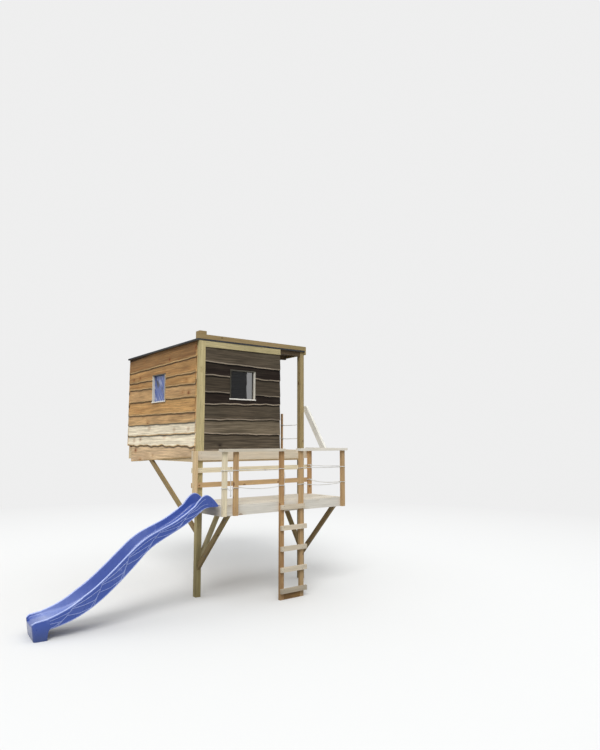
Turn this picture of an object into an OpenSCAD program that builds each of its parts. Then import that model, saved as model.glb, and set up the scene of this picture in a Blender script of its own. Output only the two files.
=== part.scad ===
// A children's tree house on two tall posts: a boarded cabin under a flat roof, a small
// porch beside it, a lower play deck in front with rails, ropes and a ladder, and a moulded
// wave slide at the deck's left end. Millimetres, +Z up, +X along the front towards the
// porch. The origin is the middle of the corner post's foot, on the ground.

/* [Posts] */
// Thickness of the two tall square posts
post_w = 85; // [70:1:110]
// Distance between the middles of the two tall posts
post_spacing = 2035; // [1900:5:2300]

/* [Timber] */
// Thickness of beams, studs, rail posts and ladder sides
timber_t = 45; // [38:1:50]
// Width of rail posts, ladder sides, rafters and rungs
timber_w = 70; // [60:1:80]
// Height of beams and fascia boards
beam_h = 145; // [120:1:170]
// Thickness of fascia and trim boards
board_t = 28; // [22:1:32]

/* [Deck] */
// Height of the deck's walking surface
deck_h = 1440; // [1300:5:1500]
// How far the deck reaches forward of the posts
deck_depth = 890; // [800:5:1000]
// How far the deck reaches past the middle of each tall post
deck_reach = 158; // [140:1:180]
// Thickness of deck and floor boards
floor_t = 28; // [22:1:32]
// Number of joists between the two that meet the posts
deck_joists = 4; // [2:1:5]

/* [Rails] */
// Thickness of the handrail boards
handrail_t = 40; // [30:1:45]
// Width of the handrail boards
handrail_w = 120; // [100:1:140]
// How far a handrail board stands past its posts
handrail_over = 32; // [10:1:45]
// Thickness of the three back rails
rail_t = 35; // [25:1:40]
// Height of the two narrow back rails
slim_rail_h = 75; // [60:1:90]
// Gap above the middle back rail, as a share of the height that the back rails leave open
upper_rail_share = 0.245; // [0.15:0.005:0.35]
// Gap above the lower back rail, as a share of the height that the back rails leave open
lower_rail_share = 0.32; // [0.2:0.005:0.45]
// Gap between the first and second front rail posts
post_pair_gap = 120; // [80:5:200]

/* [Ladder] */
// Distance from the corner post's middle to the ladder's left side
ladder_x = 857; // [700:1:1000]
// Clear width between the ladder's sides
ladder_clear = 310; // [280:5:360]
// Height of the top rung's upper edge
top_rung_z = 1395; // [1350:1:1430]
// Height from one rung to the next
rung_rise = 308; // [280:1:320]
// Number of rungs
rungs = 5; // [3:1:5]
// Thickness of a rung
rung_t = 35; // [25:1:40]
// How far the lower rungs stand past the ladder's right side
rung_over = 40; // [10:1:60]

/* [Cabin] */
// Height of the cabin's floor above the ground
cabin_floor_h = 2205; // [2150:5:2300]
// Height of the wall plates above the cabin's floor
cabin_h = 1745; // [1650:5:1900]
// Outside width of the cabin along the front
cabin_w = 1575; // [1450:5:1700]
// Outside depth of the cabin
cabin_depth = 2650; // [2400:5:2800]
// Number of joists under the cabin's floor
cabin_joists = 4; // [3:1:6]
// Thickness of the wall cladding
clad_t = 25; // [20:1:30]
// Usual height of a cladding board that shows
clad_step = 215; // [180:5:250]
// Thickness of a cladding board's upper edge
clad_thin = 14; // [8:1:18]
// How far a cladding board runs up behind the next one
clad_lap = 50; // [45:1:60]
// How far a board's waney lower edge wanders up and down
wane = 7; // [3:1:10]
// Clear distance between the studs in a wall
stud_gap = 600; // [450:10:700]
// Width of the corner board
corner_board_w = 115; // [90:1:140]
// How far the side cladding hangs below the floor at the front
clad_drop_front = 100; // [80:5:150]
// How far the side cladding hangs below the floor at the back
clad_drop_back = 235; // [200:5:260]
// How much shorter the lowest side board is at the back
low_board_short = 160; // [100:10:250]

/* [Openings] */
// Width and height of a window's hole in the wall
window_w = 495; // [400:5:520]
// Height of the wall between a window and the wall plate
window_head = 425; // [350:5:500]
// Distance from the corner post's middle to the front window
front_window_x = 507; // [450:1:600]
// Distance from the corner post's middle to the side window
side_window_y = 1103; // [900:1:1300]
// Thickness of the boards that line a window
lining_t = 20; // [18:1:30]
// Depth of the boards that line a window
lining_d = 78; // [75:1:95]
// How far the window linings and sills stand past the cladding
lining_out = 6; // [0:1:10]
// How far a window sill stands past its lining at each side
sill_ear = 12; // [5:1:20]
// Thickness of the window panes
pane_t = 4; // [3:1:6]
// How far a pane lies behind the front of its lining
pane_set = 40; // [30:1:50]
// Distance from the corner post's middle to the doorway
door_y = 260; // [200:5:300]
// Width of the doorway
door_w = 750; // [650:5:800]
// Height of the wall over the doorway
door_head = 295; // [260:5:400]

/* [Porch] */
// Depth of the porch from the front of the posts
porch_depth = 1200; // [1000:5:1400]
// Thickness of the slim porch rail posts
porch_post_w = 30; // [25:1:40]
// Height of the slim porch rail posts above the floor
porch_post_h = 660; // [600:5:750]

/* [Roof] */
// Fall of the roof towards the back, in degrees
roof_fall = 1; // [0:0.5:2]
// Thickness of the roof boards
roof_board_t = 24; // [18:1:28]
// Thickness of the roof covering
covering_t = 4; // [3:1:6]
// How far the roof stands past the walls
roof_over = 30; // [20:5:60]
// Height of the roof's edge boards
edge_board_h = 72; // [60:1:90]
// Height of the short block on the roof's front corner
corner_block_h = 55; // [40:1:70]
// Width and length of the short block on the roof's front corner
corner_block_w = 125; // [90:5:150]
// Height of the upper wall board under the roof
plate_board_h = 95; // [80:1:120]
// Number of rafters
rafters_n = 6; // [5:1:8]

/* [Diagonal rail] */
// How far in front of the porch post the diagonal rail's foot stands
diagonal_run = 480; // [400:5:600]
// Height of the diagonal rail's head above the handrail
diagonal_rise = 735; // [650:5:900]
// Width of the diagonal rail, measured level
diagonal_w = 125; // [110:1:140]
// How far the diagonal rail's head stands in front of the porch post
diagonal_head = 60; // [0:5:80]

/* [Braces] */
// Height on the post where the deck braces start
deck_brace_z = 400; // [300:5:500]
// Height on the post where the inner braces start
inner_brace_z = 500; // [400:5:600]
// How far the inner braces reach along the beam
inner_brace_reach = 375; // [300:5:450]
// Height on the post where the cabin brace starts
cabin_brace_z = 950; // [800:5:1100]
// How far the cabin brace reaches under the cabin
cabin_brace_reach = 1700; // [1400:5:1900]

/* [Ropes] */
// Thickness of the ropes
rope_d = 12; // [8:1:16]
// Height of the lower deck ropes above the deck
rope_low = 250; // [200:5:300]
// Height of the upper deck ropes above the deck
rope_high = 500; // [450:5:550]
// Height of the lower porch rope above the cabin's floor
porch_rope_low = 205; // [180:5:250]
// Height of the upper porch rope above the cabin's floor
porch_rope_high = 450; // [400:5:500]

/* [Slide] */
// Distance between the middles of the slide's two rims
slide_w = 420; // [380:5:440]
// Distance from the corner post's middle to the slide's middle, at the deck
slide_y = -701; // [-701:1:-600]
// How far the slide turns from the deck's length towards the cabin's side, in degrees
slide_turn = 6; // [0:1:10]
// Height of the slide's side walls at its middle
slide_wall_h = 150; // [130:5:180]
// How far the slide's outer walls reach below its bed
slide_skirt = 8; // [6:1:30]
// Thickness of the slide's moulded wall
slide_t = 6; // [4:1:8]
// Thickness of the slide's rolled rims
rim_d = 34; // [28:1:40]
// Radius of the cove between the slide's bed and its walls
slide_cove = 40; // [25:1:60]
// Height of the slide's bed above its lower edge at the lower end
slide_end_bed = 80; // [60:1:85]
// How far the slide's top lip lies on the deck
slide_lip = 85; // [60:5:110]
// Width of the slide's top lip
slide_lip_w = 230; // [150:5:260]
// Length of the foot at the slide's lower end
slide_foot_len = 170; // [120:5:200]
// Radius of the foot's two upright corners
slide_corner = 40; // [20:1:50]

/* [Hidden] */
$fn = 24;
half = post_w / 2;
front_y = -half;
deck_front = front_y - deck_depth;
deck_left = -deck_reach;
deck_right = post_spacing + deck_reach;
deck_under = deck_h - beam_h;
fascia_back = deck_front + board_t;
rail_top = cabin_floor_h;
plate_top = cabin_floor_h + cabin_h;
floor_under = cabin_floor_h - floor_t;
beam_under = floor_under - beam_h;
cabin_left = -half;
cabin_right = cabin_left + cabin_w;
cabin_back = front_y + cabin_depth;
porch_right = post_spacing + half;
porch_back = front_y + porch_depth;
window_z = plate_top - window_head - window_w;
door_top = plate_top - door_head;
wall_top = plate_top - timber_w;
roof_left = cabin_left - clad_t - roof_over;
roof_deep = cabin_depth + roof_over;
roof_t = roof_board_t + covering_t;
// Room between the wall's front and the first rafter, which leans with the roof's fall.
rafter_room = 2;
far = 6000;

// Places its children in the plane of the roof, whose zero is the underside of the roof boards.
module in_roof_plane() {
    translate([0, front_y, plate_top]) rotate([-roof_fall, 0, 0]) children();
}

// Cuts its children off at this depth below the roof boards.
module under_roof(depth = 0) {
    difference() {
        children();
        in_roof_plane() translate([-far / 2, -far / 2, -depth]) cube([far, far, far / 2]);
    }
}

// A box from one corner to the opposite corner.
module box(low, high) {
    translate(low) cube(high - low);
}

module corner_post() {
    color("burlywood") under_roof() box([-half, -half, 0], [half, half, plate_top + post_w]);
}

module porch_post() {
    color("tan")
        under_roof()
            translate([post_spacing, 0, 0]) box([-half, -half, 0], [half, half, plate_top + post_w]);
}

module front_floor_beam() {
    color("wheat")
        box([half, front_y, beam_under], [post_spacing - half, front_y + timber_t, floor_under]);
}

module left_floor_beam() {
    color("wheat") box([cabin_left, half, beam_under], [cabin_left + timber_t, cabin_back, floor_under]);
}

module inner_floor_beam() {
    color("wheat")
        box([cabin_right - timber_t, front_y + timber_t, beam_under],
            [cabin_right, cabin_back - timber_t, floor_under]);
}

module porch_side_beam() {
    color("wheat")
        box([porch_right - timber_t, half, beam_under], [porch_right, porch_back, floor_under]);
}

module back_floor_beam() {
    color("wheat")
        box([cabin_left + timber_t, cabin_back - timber_t, beam_under],
            [cabin_right, cabin_back, floor_under]);
}

module floor_joists() {
    bay = (cabin_depth - 2 * timber_t) / (cabin_joists + 1);
    color("wheat") {
        for (i = [1:cabin_joists])
            translate([0, front_y + timber_t + i * bay - timber_t / 2, 0])
                box([cabin_left + timber_t, 0, floor_under - timber_w],
                    [cabin_right - timber_t, timber_t, floor_under]);
        box([cabin_right, porch_back - timber_t, beam_under],
            [porch_right - timber_t, porch_back, floor_under]);
    }
}

module cabin_floor() {
    color("burlywood")
        difference() {
            box([cabin_left, front_y, floor_under], [cabin_right, cabin_back, cabin_floor_h]);
            box([-far, -far, floor_under - 1], [half, half, cabin_floor_h + 1]);
        }
}

module porch_floor() {
    color("burlywood")
        difference() {
            box([cabin_right, front_y, floor_under], [porch_right, porch_back, cabin_floor_h]);
            box([post_spacing - half, -far, floor_under - 1], [far, half, cabin_floor_h + 1]);
        }
}

// The boards of a wall, from the lowest up: the share of the usual height that shows, how far
// the lower edge climbs along the wall, and how much more than usual the edge wanders.
front_boards = [[1.21, 0, 0], [1.1, -15, 1], [1.17, 20, 1], [0.78, 38, 1.2], [1.26, -25, 0.8],
                [0.95, -15, 1], [1.25, -37, 0.6]];
side_boards = [[1.1, clad_drop_back - clad_drop_front, 0.2], [0.86, 0, 2.2], [0.89, 40, 0.8],
               [0.79, 15, 0.8], [1.16, -15, 0.6], [1.02, -15, 0.8], [0.72, -40, 0.8],
               [1.04, 15, 0.8], [1.33, 65, 0.6]];
// Distance between the points of a waney edge.
edge_pitch = 85;
// Lengths of the two waves that a waney edge is made of.
long_wave = 680;
short_wave = 290;
// Share of the wandering that the long wave makes.
long_share = 0.6;

// Height of a waney edge above its straight line, at x along the board with this number.
function wander(x, number) = wane * (long_share * sin(360 * x / long_wave + 70 * number)
                                     + (1 - long_share) * sin(360 * x / short_wave + 131 * number));

// The lower edges of a wall's boards, as [height, number], from the lowest up to the top.
function laps(boards, low, top, i = 0) = low >= top ? [] : concat(
    [[low, i]],
    laps(boards, low + boards[i % len(boards)][0] * clad_step, top, i + 1));

// How far a board's outer face stands from the studs, at this height above its lower edge.
function board_face(up) = clad_t - up * (clad_t - clad_thin) / clad_step;

// One board along +X with its outer face towards -Y: a wedge cut along a waney lower edge.
module waney_board(length, low, high, board, number) {
    spare = abs(board[1]) / 2 + wane * board[2];
    steps = max(2, round(length / edge_pitch));
    edge = [for (i = [0:steps]) let (x = i * length / steps)
        [x, low + board[1] * (x / length - 0.5) + board[2] * wander(x, number)]];
    intersection() {
        rotate([90, 0, 90])
            linear_extrude(length)
                polygon([[0, low - spare], [-board_face(-spare), low - spare],
                         [-board_face(high - low), high], [0, high]]);
        translate([0, 1, 0])
            rotate([90, 0, 0])
                linear_extrude(2 * clad_t)
                    polygon(concat(edge, [[length, high], [0, high]]));
    }
}

// All the boards of a wall, each running up behind the next.
module cladding(length, boards, low, top) {
    rows = laps(boards, low, top);
    for (i = [0:len(rows) - 1]) {
        board = boards[i % len(boards)];
        next = i + 1 < len(rows) ? rows[i + 1][0] + clad_lap : top;
        waney_board(length, rows[i][0], min(next, top), board, i);
    }
}

// A frame of studs and plates along +X behind the boards.
module stud_frame(length, low, high) {
    bays = max(1, ceil((length - timber_t) / (stud_gap + timber_t)));
    pitch = (length - timber_t) / bays;
    for (i = [0:bays])
        translate([i * pitch, 0, 0]) box([0, 0, low], [timber_t, timber_t, high]);
    for (z = [low, high - timber_t])
        box([0, 0, z], [length, timber_t, z + timber_t]);
}

// Studs at both sides of a window's hole, and the rails under and over it.
module window_trimmer(x) {
    for (side = [x - timber_t, x + window_w])
        box([side, 0, cabin_floor_h], [side + timber_t, timber_t, wall_top]);
    for (z = [window_z - timber_t, window_z + window_w])
        box([x, 0, z], [x + window_w, timber_t, z + timber_t]);
}

module window_hole(x) {
    box([x, -2 * clad_t, window_z], [x + window_w, timber_t + 1, window_z + window_w]);
}

module front_wall() {
    length = cabin_right - half;
    color("dimgray")
        under_roof(timber_w)
            translate([half, front_y, 0])
                difference() {
                    union() {
                        cladding(length, front_boards, cabin_floor_h, plate_top - plate_board_h);
                        stud_frame(length, cabin_floor_h, wall_top);
                        window_trimmer(front_window_x - half);
                    }
                    window_hole(front_window_x - half);
                }
}

// Places a wall that is drawn along +X on the cabin's left side.
module along_left() {
    translate([cabin_left, cabin_back, 0]) rotate([0, 0, -90]) children();
}

module left_wall() {
    length = cabin_back - half;
    low = cabin_floor_h - (clad_drop_front + clad_drop_back) / 2;
    window_x = cabin_back - side_window_y - window_w;
    color("peru")
        difference() {
            union() {
                under_roof()
                    along_left() cladding(length, side_boards, low, plate_top + timber_t);
                under_roof(timber_w)
                    along_left() {
                        stud_frame(length, cabin_floor_h, wall_top);
                        window_trimmer(window_x);
                    }
            }
            along_left() {
                window_hole(window_x);
                box([-1, -2 * clad_t, 0],
                    [low_board_short, 1, low + side_boards[0][0] * clad_step - wane]);
            }
        }
}

// Places a wall that is drawn along +X on the cabin's back.
module along_back() {
    translate([cabin_right + clad_t, cabin_back, 0]) rotate([0, 0, 180]) children();
}

module back_wall() {
    color("peru") {
        under_roof()
            along_back() cladding(cabin_w + 2 * clad_t, side_boards, cabin_floor_h, plate_top + timber_t);
        under_roof(timber_w)
            along_back()
                translate([clad_t + timber_t, 0, 0])
                    stud_frame(cabin_w - 2 * timber_t, cabin_floor_h, wall_top);
    }
}

// One stretch of the wall beside the porch, from one place along Y to another.
module side_wall(from_y, to_y, low) {
    start = front_y;
    color("dimgray")
        under_roof(timber_w)
            translate([cabin_right, start, 0])
                rotate([0, 0, 90]) {
                    intersection() {
                        cladding(cabin_depth, front_boards, cabin_floor_h, plate_top);
                        box([from_y - start, -2 * clad_t, low], [to_y - start, 1, far]);
                    }
                    translate([from_y - start, 0, 0]) stud_frame(to_y - from_y, low, wall_top);
                }
}

module door_side_wall() { side_wall(front_y + timber_t, door_y, cabin_floor_h); }

module rear_side_wall() { side_wall(door_y + door_w, cabin_back, cabin_floor_h); }

module over_door_wall() { side_wall(door_y, door_y + door_w, door_top); }

module corner_board() {
    color("khaki")
        under_roof()
            box([half - corner_board_w, front_y - clad_t, rail_top], [half, front_y, plate_top]);
}

module front_plate_board() {
    color("wheat")
        box([half, front_y - clad_t, plate_top - plate_board_h], [cabin_right, front_y, plate_top]);
}

// Four boards that line a window's hole, the lowest one a sill: outer face towards -Y.
module window_lining() {
    front = -clad_t - lining_out;
    color("white") {
        difference() {
            box([0, front, 0], [window_w, front + lining_d, window_w]);
            box([lining_t, -far, lining_t], [window_w - lining_t, far, window_w - lining_t]);
        }
        box([-sill_ear, front - lining_out, 0], [window_w + sill_ear, -clad_t, lining_t]);
    }
}

// A pane within its lining.
module window_pane() {
    back = pane_set - clad_t - lining_out + pane_t;
    color("lightblue")
        box([lining_t, back - pane_t, lining_t], [window_w - lining_t, back, window_w - lining_t]);
}

module in_front_window() {
    translate([front_window_x, front_y, window_z]) children();
}

module in_left_window() {
    translate([cabin_left, side_window_y + window_w, window_z]) rotate([0, 0, -90]) children();
}

module front_window_frame() { in_front_window() window_lining(); }

module left_window_frame() { in_left_window() window_lining(); }

module window_panes() {
    in_front_window() window_pane();
    in_left_window() window_pane();
}

// Rafters from the left cladding to the porch's side. The first lies between the tall posts.
module rafters() {
    pitch = (cabin_depth - timber_t - rafter_room) / (rafters_n - 1);
    color("wheat")
        in_roof_plane()
            for (i = [0:rafters_n - 1])
                translate([0, rafter_room + i * pitch, -timber_w])
                    box([i == 0 ? half : cabin_left, 0, 0],
                        [i == 0 ? post_spacing - half : porch_right, timber_t, timber_w]);
}

module roof_boards() {
    color("burlywood")
        in_roof_plane()
            box([roof_left, covering_t - board_t, 0], [porch_right, roof_deep, roof_board_t]);
}

// The covering lies on the boards and is folded down over their front, left and back edges.
module roof_covering() {
    color([0.13, 0.13, 0.14])
        in_roof_plane()
            difference() {
                box([roof_left - covering_t, -board_t, 0], [porch_right, roof_deep + covering_t, roof_t]);
                box([roof_left, covering_t - board_t, -1], [far, roof_deep, roof_board_t]);
            }
}

// A board on the roof's front edge, with a short block behind and above its left end.
module roof_front_edge() {
    color("wheat")
        in_roof_plane()
            translate([roof_left - covering_t, -board_t, roof_t]) {
                box([0, 0, 0], [porch_right + board_t - roof_left + covering_t, board_t, edge_board_h]);
                translate([roof_over + covering_t, 0, 0]) {
                    box([0, board_t, 0], [corner_block_w, corner_block_w, edge_board_h + corner_block_h]);
                    box([0, 0, edge_board_h], [corner_block_w, board_t, edge_board_h + corner_block_h]);
                }
            }
}

module roof_right_edge() {
    color("wheat")
        in_roof_plane()
            translate([porch_right, -board_t, roof_t - edge_board_h])
                box([0, 0, 0], [board_t, roof_deep + board_t, edge_board_h]);
}

module deck_boards() {
    color("antiquewhite")
        difference() {
            box([deck_left + board_t, fascia_back, deck_h - floor_t],
                [deck_right - board_t, front_y + timber_t, deck_h]);
            for (x = [0, post_spacing])
                box([x - half, -half, 0], [x + half, half, far]);
        }
}

module deck_fascia() {
    color("ivory") box([deck_left, deck_front, deck_under], [deck_right, fascia_back, deck_h]);
}

module deck_end_boards() {
    color("ivory")
        for (x = [deck_left, deck_right - board_t])
            box([x, fascia_back, deck_under], [x + board_t, front_y + timber_t, deck_h]);
}

module deck_back_beam() {
    color("wheat")
        box([half, front_y, deck_under], [post_spacing - half, front_y + timber_t, deck_h - floor_t]);
}

module deck_joists() {
    step = post_spacing / (deck_joists + 1);
    color("wheat")
        for (i = [0:deck_joists + 1])
            box([i * step - timber_t / 2, fascia_back, deck_under],
                [i * step + timber_t / 2, front_y, deck_h - floor_t]);
}

// One upright rail post: its left, front and lower ends.
module rail_post(x, y, z) {
    box([x, y, z], [x + timber_w, y + timber_t, rail_top]);
}

module front_rail_posts() {
    color("navajowhite") {
        rail_post(deck_left, deck_front - timber_t, deck_under);
        rail_post(deck_left + timber_w + post_pair_gap, deck_front - timber_t, deck_under);
        rail_post(deck_right - timber_w, deck_front - timber_t, deck_under);
    }
}

module back_rail_posts() {
    back_post_y = front_y - rail_t - timber_t;
    color("navajowhite") {
        rail_post(deck_left, back_post_y, deck_h);
        rail_post(deck_right - timber_w, back_post_y, deck_h);
    }
}

// A handrail board laid flat on the front posts, from one place along X to another.
module handrail(from_x, to_x) {
    middle = deck_front - timber_t / 2;
    color("ivory")
        box([from_x, middle - handrail_w / 2, rail_top], [to_x, middle + handrail_w / 2, rail_top + handrail_t]);
}

module left_handrail() {
    handrail(deck_left - handrail_over, ladder_x + timber_w);
}

module right_handrail() {
    handrail(ladder_x + timber_w + ladder_clear - handrail_over / 2, deck_right + handrail_over);
}

// One of the three long rails along the back of the deck.
module back_rail(low, height) {
    color("burlywood")
        box([deck_left, front_y - rail_t, low], [deck_right, front_y, low + height]);
}

module back_top_rail() { back_rail(rail_top - beam_h, beam_h); }

module back_slim_rails() {
    open = rail_top - beam_h - 2 * slim_rail_h - deck_h;
    middle = rail_top - beam_h - upper_rail_share * open - slim_rail_h;
    back_rail(middle, slim_rail_h);
    back_rail(middle - lower_rail_share * open - slim_rail_h, slim_rail_h);
}

// The handrail over the deck's right end, which also carries the diagonal rail's foot.
module end_handrail() {
    color("ivory")
        box([porch_right, deck_front - timber_t / 2 + handrail_w / 2, rail_top],
            [deck_right + handrail_over, front_y - rail_t, rail_top + handrail_t]);
}

// One upright side of the ladder, which also carries the handrail.
module ladder_side(x) {
    color("moccasin")
        box([x, deck_front - timber_t, 0], [x + timber_w, deck_front, rail_top]);
}

module ladder_sides() {
    ladder_side(ladder_x);
    ladder_side(ladder_x + timber_w + ladder_clear);
}

module ladder_rungs() {
    width = 2 * timber_w + ladder_clear;
    color("ivory")
        for (i = [0:rungs - 1])
            translate([ladder_x, deck_front - timber_t - rung_t, top_rung_z - i * rung_rise - timber_w])
                cube([width + (i == 0 ? 0 : rung_over), rung_t, timber_w]);
}

module ladder_foot_board() {
    color("rosybrown")
        box([ladder_x + timber_w, deck_front - timber_t, 0],
            [ladder_x + timber_w + ladder_clear, deck_front, beam_h - timber_t]);
}

// A leaning board in the X-Z plane: its foot on a post's face, its head under a beam.
module leaning_board(foot_z, reach, head_z, depth) {
    slope = atan2(head_z - foot_z, reach);
    along = depth / sin(slope);
    up = depth / cos(slope);
    rotate([90, 0, 0])
        translate([0, 0, -timber_t / 2])
            linear_extrude(timber_t)
                polygon([[0, foot_z], [reach, head_z], [reach - along, head_z], [0, foot_z + up]]);
}

module knee_braces() {
    color("darkkhaki") {
        for (x = [0, post_spacing])
            translate([x, front_y, 0])
                rotate([0, 0, -90])
                    leaning_board(deck_brace_z, deck_depth - board_t, deck_under, timber_w);
        translate([half, front_y + timber_t / 2, 0])
            leaning_board(inner_brace_z, inner_brace_reach, deck_under, timber_w);
        translate([post_spacing - half, front_y + timber_t / 2, 0])
            rotate([0, 0, 180])
                leaning_board(inner_brace_z, inner_brace_reach, deck_under, timber_w);
        translate([cabin_left + timber_t / 2, half, 0])
            rotate([0, 0, 90])
                leaning_board(cabin_brace_z, cabin_brace_reach, beam_under, timber_w);
    }
}

module diagonal_rail() {
    foot = rail_top + handrail_t;
    head = foot + diagonal_rise;
    head_y = front_y - diagonal_head;
    color("white")
        translate([porch_right, 0, 0])
            rotate([90, 0, 90])
                linear_extrude(timber_t)
                    polygon([[-diagonal_run - diagonal_w, foot], [-diagonal_run, foot],
                             [head_y + diagonal_w, head], [head_y, head]]);
}

module porch_rail_posts() {
    color("white")
        for (y = [half + (porch_back - half) / 2 - porch_post_w, porch_back - porch_post_w])
            translate([porch_right - porch_post_w, y, cabin_floor_h])
                cube([porch_post_w, porch_post_w, porch_post_h]);
}

// A straight run of rope between two points.
module rope(a, b) {
    d = b - a;
    translate(a)
        rotate([0, acos(d[2] / norm(d)), atan2(d[1], d[0])])
            cylinder(d = rope_d, h = norm(d), $fn = 8);
}

module ropes() {
    y = deck_front - timber_t / 2;
    left_end = deck_left + timber_w;
    second = left_end + post_pair_gap;
    right_post = deck_right - timber_w;
    ladder_end = ladder_x + 2 * timber_w + ladder_clear;
    color("ivory") {
        for (z = [deck_h + rope_low, deck_h + rope_high]) {
            rope([left_end, y, z], [second, y, z]);
            rope([second + timber_w, y, z], [ladder_x, y, z]);
            rope([ladder_end, y, z], [right_post, y, z]);
            rope([deck_right - timber_w / 2, deck_front, z],
                 [deck_right - timber_w / 2, front_y - rail_t - timber_t, z]);
        }
        for (z = [cabin_floor_h + porch_rope_low, cabin_floor_h + porch_rope_high])
            rope([porch_right - porch_post_w / 2, half, z],
                 [porch_right - porch_post_w / 2, half + (porch_back - half) / 2 - porch_post_w, z]);
    }
}

// Distance between the slide's stations, and their number.
slide_step = 72;
slide_steps = 36;
// Height of the slide's rims where they start on the deck's end.
slide_tip_h = 25;
// Most of a wall's height that its cove may take.
cove_share = 0.9;
// Length over which the skirts come down to the foot.
foot_run = 25;
// How far the foot's top falls for each millimetre along it, and where its corners curve.
foot_fall = 0.15;
foot_sink = 0.6;
// How far the foot's end leans out over its lower edge, in degrees.
foot_lean = 8;
// Slope of the slide's bed, in degrees, by distance along it from the deck.
function slide_slope(s) = lookup(s, [[0, 0], [110, 2], [230, 40], [450, 33], [700, 27], [950, 29],
                                     [1200, 47], [1400, 45], [1800, 40], [2050, 32], [2300, 20],
                                     [2500, 12], [2800, 10]]);
// Height of the slide's rims above its lower edge, by distance along it.
function slide_wall(s) = slide_wall_h * lookup(s, [[0, slide_tip_h / slide_wall_h], [130, 1.18], [260, 0.75],
                                                   [450, 0.73], [700, 0.72], [1400, 1.08], [2100, 1.13],
                                                   [2600, 0.79], [2800, 0.71]]);
// Height of the slide's bed above its lower edge, by distance along it.
function slide_bed(s) = slide_end_bed * lookup(s, [[0, 0], [1900, 0], [2300, 0.4], [2600, 1], [2800, 1]]);

// Stations along the slide: place along X, height, slope, rim height, bed height, skirt, inset.
function slide_walk(i, x, z) = let (s = i * slide_step, a = slide_slope(s)) i > slide_steps ? [] : concat(
    [[x, z, a, slide_wall(s), slide_bed(s), slide_skirt, 0]],
    slide_walk(i + 1, x - slide_step * cos(a), z - slide_step * sin(a)));

// Stations of the foot, whose skirts reach the ground and whose end has rounded corners.
function slide_foot(last) = [for (out = concat([0], [for (a = [0:30:90]) slide_foot_len
                                                 - slide_corner * (1 - sin(a))]))
    let (d = max(0, out - slide_foot_len + slide_corner), z = last[1] - slide_t,
         sunk = foot_fall * out + foot_sink * d, lean = foot_lean * out / slide_foot_len)
    [last[0] - foot_run - out, z, lean, last[3] - sunk, last[4] - sunk, z / cos(lean),
     slide_corner - sqrt(slide_corner * slide_corner - d * d)]];

// One side of the shell's section, from the bed's middle out over the rolled rim and back.
function slide_half(p) = let (w = slide_w / 2 - p[6], r = rim_d / 2, t = slide_t, h = p[3] - r, b = p[4],
                              c = min(slide_cove, (h - b) * cove_share)) concat(
    [[0, b]],
    [for (a = [-90:30:0]) [w - r - c + c * cos(a), b + c + c * sin(a)]],
    [for (a = [180:-45:0]) [w + r * cos(a), h + r * sin(a)]],
    [[w + r, -p[5]], [w + r - t, -p[5]]],
    [for (a = [0:45:180]) [w + (r - t) * cos(a), h + (r - t) * sin(a)]],
    [for (a = [0:-30:-90]) [w - r - c + (c + t) * cos(a), b + c + (c + t) * sin(a)]],
    [[0, b - t]]);

// The closed section: one side, then the other side mirrored and reversed, ends left out.
function slide_section(p) = let (a = slide_half(p), n = len(a)) concat(
    a, [for (i = [n - 2:-1:1]) [-a[i][0], a[i][1]]]);

// Triangles that close a section's end: strips between its upper and its lower line. A section
// of n points has its first half on one side and the rest mirrored on the other.
function end_strips(n) = let (h = (n + 2) / 2) [for (k = [0:h / 2 - 2]) each [
    [k, k + 1, h - 2 - k], [k, h - 2 - k, h - 1 - k],
    [n + 1 - h + k, n + 2 - h + k, n - 1 - k], [n + 1 - h + k, n - 1 - k, (n - k) % n]]];

// The slide's shell, swept along its bed and down over its foot.
module slide_shell() {
    walk = slide_walk(0, 0, deck_h + slide_t);
    stations = concat(walk, slide_foot(walk[slide_steps]));
    rings = [for (p = stations) [for (q = slide_section(p))
        [p[0] - q[1] * sin(p[2]), q[0], p[1] + q[1] * cos(p[2])]]];
    n = len(rings[0]);
    last = (len(rings) - 1) * n;
    polyhedron(
        points = [for (ring = rings) each ring],
        faces = concat(
            [for (i = [0:len(rings) - 2]) for (j = [0:n - 1]) each
                [[i * n + j, (i + 1) * n + j, (i + 1) * n + (j + 1) % n],
                 [i * n + j, (i + 1) * n + (j + 1) % n, i * n + (j + 1) % n]]],
            end_strips(n),
            [for (f = end_strips(n)) [last + f[2], last + f[1], last + f[0]]]),
        convexity = 10);
}

// Places the slide, which is drawn along -X, turned at the deck's end.
module at_slide() {
    translate([deck_left - (slide_w + rim_d) / 2 * sin(slide_turn), slide_y, 0])
        rotate([0, 0, -slide_turn]) children();
}

module slide() {
    end = slide_foot(slide_walk(0, 0, deck_h + slide_t)[slide_steps])[4];
    w = slide_w / 2 + rim_d / 2 - slide_corner;
    low = end[0] + end[1] * tan(end[2]);
    top = end[0] - end[4] * sin(end[2]);
    top_z = end[1] + end[4] * cos(end[2]);
    color([0.24, 0.29, 0.68])
        at_slide() {
            slide_shell();
            box([-slide_t, -slide_lip_w / 2, deck_h], [slide_lip, slide_lip_w / 2, deck_h + slide_t]);
            translate([0, w, 0])
                rotate([90, 0, 0])
                    linear_extrude(2 * w)
                        polygon([[low, 0], [low + slide_t, 0], [top + slide_t, top_z], [top, top_z]]);
        }
}

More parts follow.
